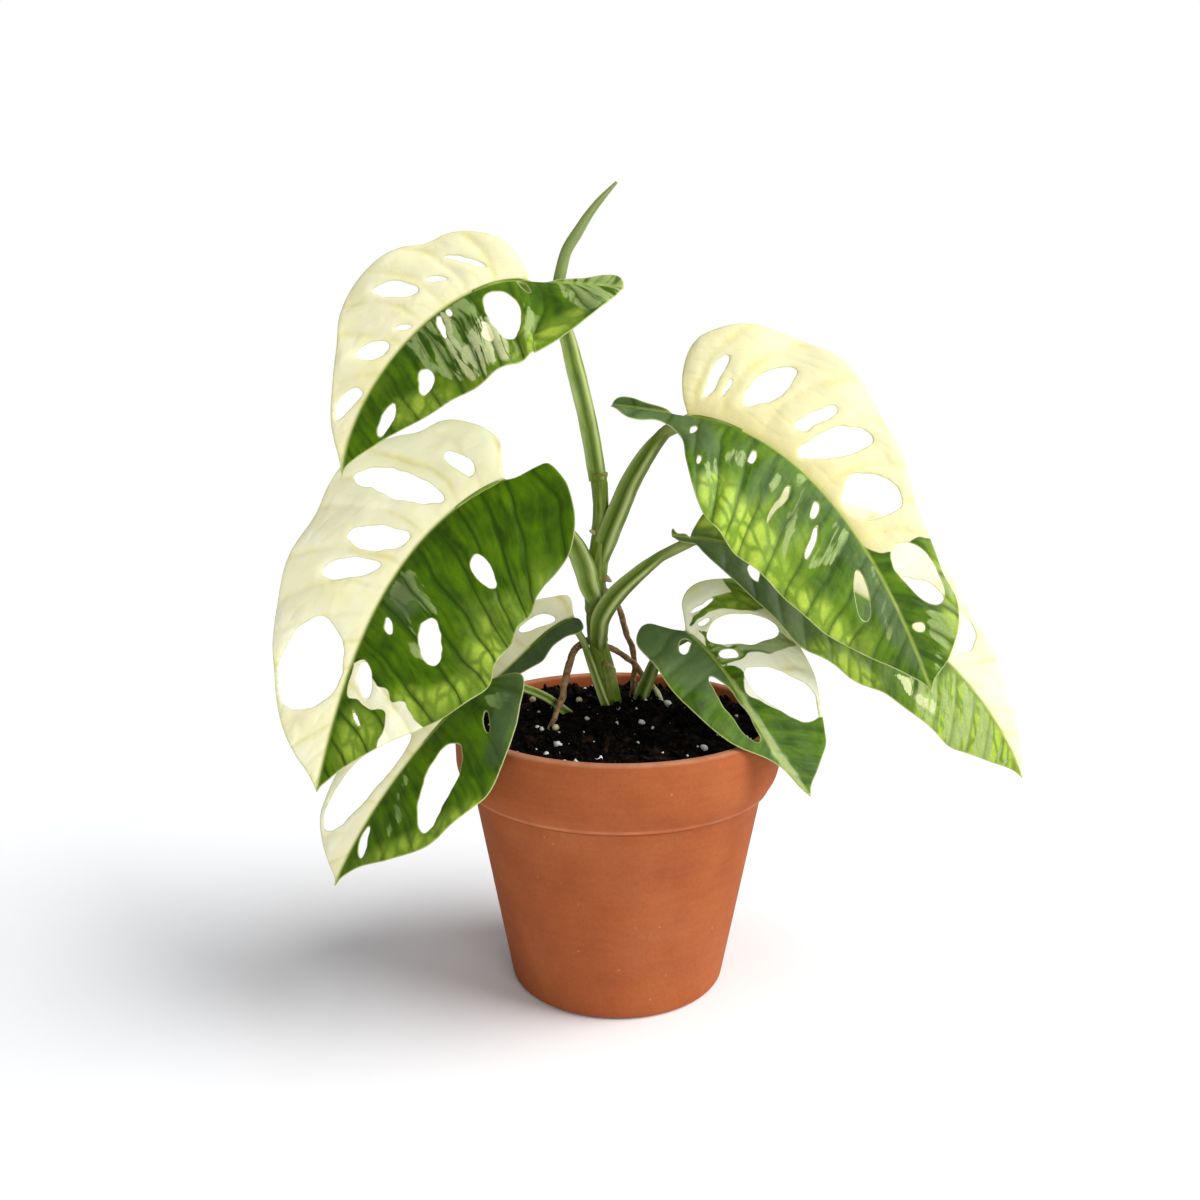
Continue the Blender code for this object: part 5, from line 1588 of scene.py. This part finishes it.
def make_root(name, settings, material):
    """An aerial root: knobbly and bent a little off its path, thin and pale at a growing end."""
    line, ahead, radii, run = stalk_line(name)
    place = np.column_stack([run / 9, np.full(len(run), len(name)), 0 * run])
    wander = np.column_stack([rough(place + (0, 0, 3 * k), 1.0, 2, 50 + k) for k in range(3)])
    line = line + ROOT_WANDER * wander * bell(run - run.mean(), 30)[:, None]
    first, second = stalk_frame(ahead, np.array(STEM_SIDE))
    turn = circle(settings.around)
    knobs = skin_noise(run / 2.4, turn, 1.0, 3, 60, len(name))
    rings = swept(line, first, second, radii[:, None] * (1 + ROOT_KNOBS * knobs))
    young = np.clip((run - YOUNG_ROOT_RUN) / 6, 0, 1)[:, None] * (name == YOUNG_ROOT)
    return stalk_piece(name, f"{name}_bark", rings, turn, run, material, "root_bark",
                       name, young=young)


def make_nub(title, start, end, radius, material):
    """A root that has only begun: a short blunt cone out of the stem."""
    share = np.linspace(0, 1, NUB_RINGS)
    start, end = raised([start, end])
    line = start + share[:, None] * (end - start)
    ahead = np.broadcast_to(unit(end - start), line.shape)
    first, second = stalk_frame(ahead, np.array(CHANNEL_SIDE))
    turn = circle(NUB_AROUND)
    radii = radius * np.sqrt(np.clip(1.02 - share ** 3, 0, 1)) * (1 - 0.25 * share)
    knobs = skin_noise(share * 3, turn, 1.0, 2, 70)
    rings = swept(line, first, second, radii[:, None] * (1 + NUB_KNOBS * knobs))
    return stalk_piece("nub", title, rings, turn, share * 5, material, "root_bark", None,
                       young=0.5 * share[:, None])


def stalk_material(settings):
    """Living skin of stem and petioles: smooth, faintly waxy, streaked lengthwise.

    The eye sees yellow-green skin with pale wings, partly pale skin and partly
    a painted highlight, beside a channel darkened with painted shade, a paler
    joint under each blade and dry brown scars round the stem.
    """
    made = new_material("stalk skin")
    along = add(made, "ShaderNodeUVMap", uv_map="Surface")
    place = add(made, "ShaderNodeTexCoord").outputs["Object"]
    tone = {title: add(made, "ShaderNodeAttribute", attribute_name=title).outputs["Fac"]
            for title in ("channel", "wing", "knee", "scar", "olive")}
    pulled = add(made, "ShaderNodeMapping", {"Vector": along, "Scale": (1.0, 0.07, 1.0)})
    streak, cloud, speck = (add(made, "ShaderNodeTexNoise",
                                {"Vector": where, "Scale": 1 / (size * MM), "Detail": detail})
                            for where, size, detail in ((pulled, 0.9, 3.0), (place, 11, 3.0),
                                                        (place, 0.8, 2.0)))
    dry = add(made, "ShaderNodeMath", {0: tone["scar"], 1: speck, 2: 0.2},
              operation="MULTIPLY_ADD")
    colour = settings.shade
    for value, start, full, most, tint in (
            (streak, 0.38, 0.66, 1.0, settings.skin), (cloud, 0.45, 0.72, 0.45, settings.pale),
            (tone["olive"], 0.0, 1.0, 1.0, linear("586a12")),
            # Wings: pale skin and partly a painted highlight. Channel: painted shade.
            (tone["wing"], 0.0, 1.0, 0.78, settings.pale),
            (tone["channel"], 0.0, 1.0, 0.75, settings.shade),
            (tone["knee"], 0.0, 1.0, 0.4, linear("c9d38a")),
            (dry, 0.42, 0.72, 0.55, linear("8b7442"))):
        share = add(made, "ShaderNodeMapRange", {"Value": value, "From Min": start,
                                                 "From Max": full, "To Max": most})
        colour = add(made, "ShaderNodeMix", {0: share, 6: colour, 7: tint}, data_type="RGBA")
    relief = add(made, "ShaderNodeMath", {0: speck, 1: 0.3, 2: streak},
                 operation="MULTIPLY_ADD")
    bump = add(made, "ShaderNodeBump", {"Height": relief, "Distance": 0.2 * MM,
                                        "Strength": 0.5})
    shader = add(made, "ShaderNodeBsdfPrincipled",
                 {"Base Color": colour, "Roughness": 0.42, "IOR": 1.42,
                  "Specular IOR Level": 0.25, "Normal": bump})
    add(made, "ShaderNodeOutputMaterial", {"Surface": shader})
    return made


def young_leaf_material(settings):
    """A leaf still rolled: glossy and tender, green where that half shows, cream beside it."""
    made = new_material("rolled leaf tissue")
    along = add(made, "ShaderNodeUVMap", uv_map="Surface")
    green, seam = (add(made, "ShaderNodeAttribute", attribute_name=title).outputs["Fac"]
                   for title in ("green", "seam"))
    pulled = add(made, "ShaderNodeMapping", {"Vector": along, "Scale": (1.0, 0.06, 1.0)})
    streak = add(made, "ShaderNodeTexNoise", {"Vector": pulled, "Scale": 1 / (1.4 * MM),
                                              "Detail": 1.0})
    # Painted shade along the step of the seam, in the channel green.
    seam_shade = add(made, "ShaderNodeMath", {0: seam, 1: 0.6}, operation="MULTIPLY")
    cream, fresh = (add(made, "ShaderNodeMix", {0: streak, 6: linear(dark), 7: linear(light)},
                        data_type="RGBA")
                    for dark, light in (("a3b078", "cfd6a8"), ("647434", "93a45c")))
    colour = cream
    for amount, tint in ((green, fresh), (seam_shade, settings.shade)):
        colour = add(made, "ShaderNodeMix", {0: amount, 6: colour, 7: tint}, data_type="RGBA")
    bump = add(made, "ShaderNodeBump", {"Height": streak, "Distance": 0.08 * MM,
                                        "Strength": 0.4})
    shader = add(made, "ShaderNodeBsdfPrincipled",
                 {"Base Color": colour, "Roughness": 0.42, "IOR": 1.42, "Normal": bump})
    add(made, "ShaderNodeOutputMaterial", {"Surface": shader})
    return made


def root_material(settings):
    """Dry corky root bark: dull brown with pale cracks, and green-white where it still grows."""
    made = new_material("root bark")
    place = add(made, "ShaderNodeTexCoord").outputs["Object"]
    young = add(made, "ShaderNodeAttribute", attribute_name="young").outputs["Fac"]
    cloud, flake = (add(made, "ShaderNodeTexNoise",
                        {"Vector": place, "Scale": 1 / (size * MM), "Detail": detail})
                    for size, detail in ((2.5, 5.0), (0.7, 4.0)))
    colour = linear("6a4b28")
    for value, start, full, most, tint in ((cloud, 0.35, 0.68, 1.0, settings.bark),
                                           (flake, 0.54, 0.7, 0.6, linear("c4b08a")),
                                           (young, 0.0, 1.0, 1.0, linear("cfcb9a"))):
        share = add(made, "ShaderNodeMapRange", {"Value": value, "From Min": start,
                                                 "From Max": full, "To Max": most})
        colour = add(made, "ShaderNodeMix", {0: share, 6: colour, 7: tint}, data_type="RGBA")
    bump = add(made, "ShaderNodeBump", {"Height": flake, "Distance": 0.35 * MM,
                                        "Strength": 0.8})
    shader = add(made, "ShaderNodeBsdfPrincipled",
                 {"Base Color": colour, "Roughness": 0.8, "Normal": bump})
    add(made, "ShaderNodeOutputMaterial", {"Surface": shader})
    return made


class PLANT_OT_stalks(Operator):
    """Grow the stem, the petioles and the rolled young leaf"""

    bl_idname = "plant.stalks"
    bl_label = "Stem and petioles"

    def execute(self, context):
        settings = context.scene.plant_stalk
        material = stalk_material(settings)
        make_stem(settings, material)
        for name in STALKS:
            if name.startswith("petiole"):
                make_petiole(name, settings, material)
        make_spear(settings, young_leaf_material(settings))
        return {"FINISHED"}


class PLANT_OT_roots(Operator):
    """Grow the aerial roots and those that have only begun"""

    bl_idname = "plant.roots"
    bl_label = "Aerial roots"

    def execute(self, context):
        settings = context.scene.plant_root
        material = root_material(settings)
        for name in STALKS:
            if name.startswith("aerial_root"):
                make_root(name, settings, material)
        for title, start, end, radius in ROOT_NUBS:
            make_nub(title, start, end, radius, material)
        return {"FINISHED"}


# Stage


def bare_object(name, data):
    """An object of the scene that is no part of the plant."""
    made = bpy.data.objects.new(name, data)
    bpy.context.scene.collection.objects.link(made)
    return made


def aimed(source, place, target):
    """Put a light or camera at a place in metres, looking at a target."""
    source.location = place
    way = np.array(target) - place
    source.rotation_euler = (math.atan2(math.hypot(way[0], way[1]), -way[2]), 0.0,
                             math.atan2(-way[0], way[1]))
    return source


def lay_floor():
    """A floor of matt white paper, which gives no sheen, out past all that the camera sees."""
    mesh = bpy.data.meshes.new("floor")
    corners = FLOOR_REACH * np.array([(-1, -1, 0), (1, -1, 0), (1, 1, 0), (-1, 1, 0)], float)
    mesh.from_pydata(corners.tolist(), [], [(0, 1, 2, 3)])
    floor = bare_object("floor", mesh)
    paper = new_material("matt white paper")
    shader = add(paper, "ShaderNodeBsdfPrincipled",
                 {"Base Color": linear("f8f8f8"), "Roughness": 0.95,
                  "Specular IOR Level": 0.0})
    add(paper, "ShaderNodeOutputMaterial", {"Surface": shader})
    mesh.materials.append(paper)


def set_lights(settings):
    """A wide main light from the upper right, and a small one before the plant."""
    key = bpy.data.lights.new("key", "SUN")
    key.energy, key.angle = settings.key, settings.softness
    aimed(bare_object("key", key), KEY_FROM, (0, 0, 0))
    front = bpy.data.lights.new("front", "AREA")
    front.energy, front.size = settings.front, FRONT_SIZE
    aimed(bare_object("front", front), FRONT_FROM, FRONT_AIM)


def white_room(settings):
    """Faintly blue light from all sides, which the camera itself sees as plain white."""
    world = bpy.data.worlds.new("studio")
    world.use_nodes = True
    world.node_tree.nodes.clear()
    seen = add(world, "ShaderNodeLightPath").outputs["Is Camera Ray"]
    strength = add(world, "ShaderNodeMapRange", {"Value": seen, "To Min": settings.sky})
    tint = add(world, "ShaderNodeMix", {0: seen, 6: linear("f5f9ff"), 7: linear("ffffff")},
               data_type="RGBA")
    sky = add(world, "ShaderNodeBackground", {"Color": tint, "Strength": strength})
    add(world, "ShaderNodeOutputWorld", {"Surface": sky})
    return world


def photo_camera():
    """The photograph's camera, as solved from the ellipses of the pot's rim and foot."""
    camera = bpy.data.cameras.new("camera")
    camera.sensor_width, camera.lens = CAMERA_SENSOR, CAMERA_LENS
    camera.clip_start, camera.clip_end = CAMERA_CLIP
    placed = bare_object("camera", camera)
    placed.location = CAMERA_PLACE
    placed.rotation_euler = (math.pi / 2 - CAMERA_PITCH, 0, 0)
    return placed


class PLANT_OT_stage(Operator):
    """Set the floor, the soft light and the camera of the photograph"""

    bl_idname = "plant.stage"
    bl_label = "Stage"

    def execute(self, context):
        settings, scene = context.scene.plant_studio, context.scene
        lay_floor()
        set_lights(settings)
        scene.world = white_room(settings)
        scene.camera = photo_camera()
        scene.view_settings.view_transform = "Standard"
        return {"FINISHED"}


class PLANT_PT_panel(Panel):
    """Buttons and settings of the potted plant"""

    bl_idname = "PLANT_PT_panel"
    bl_label = "Potted monstera"
    bl_space_type = "VIEW_3D"
    bl_region_type = "UI"
    bl_category = "Plant"

    def draw(self, context):
        for operator, group in STEPS:
            box = self.layout.box()
            box.operator(operator)
            settings = getattr(context.scene, group)
            for name in settings.__annotations__:
                box.prop(settings, name)


STEPS = (("plant.pot", "plant_pot"), ("plant.soil", "plant_soil"),
         ("plant.stalks", "plant_stalk"), ("plant.roots", "plant_root"),
         ("plant.leaves", "plant_leaf"), ("plant.stage", "plant_studio"))
GROUPS = {"plant_pot": PotSettings, "plant_soil": SoilSettings, "plant_leaf": LeafSettings,
          "plant_stalk": StalkSettings, "plant_root": RootSettings,
          "plant_studio": StudioSettings}
CLASSES = (*GROUPS.values(), PLANT_OT_pot, PLANT_OT_soil, PLANT_OT_stalks, PLANT_OT_roots,
           PLANT_OT_leaves, PLANT_OT_stage, PLANT_PT_panel)


def register():
    """Register the classes, and hang the settings on the scene."""
    for made in CLASSES:
        bpy.utils.register_class(made)
    for name, group in GROUPS.items():
        setattr(bpy.types.Scene, name, PointerProperty(type=group))


def unregister():
    """Take the settings and the classes away again."""
    for name in GROUPS:
        delattr(bpy.types.Scene, name)
    for made in reversed(CLASSES):
        bpy.utils.unregister_class(made)


def main():
    """Build the plant step by step."""
    register()
    bpy.ops.plant.pot()
    bpy.ops.plant.soil()
    bpy.ops.plant.stalks()
    bpy.ops.plant.roots()
    bpy.ops.plant.leaves()
    bpy.ops.plant.stage()
    bpy.context.view_layer.update()


if __name__ == "__main__":
    main()
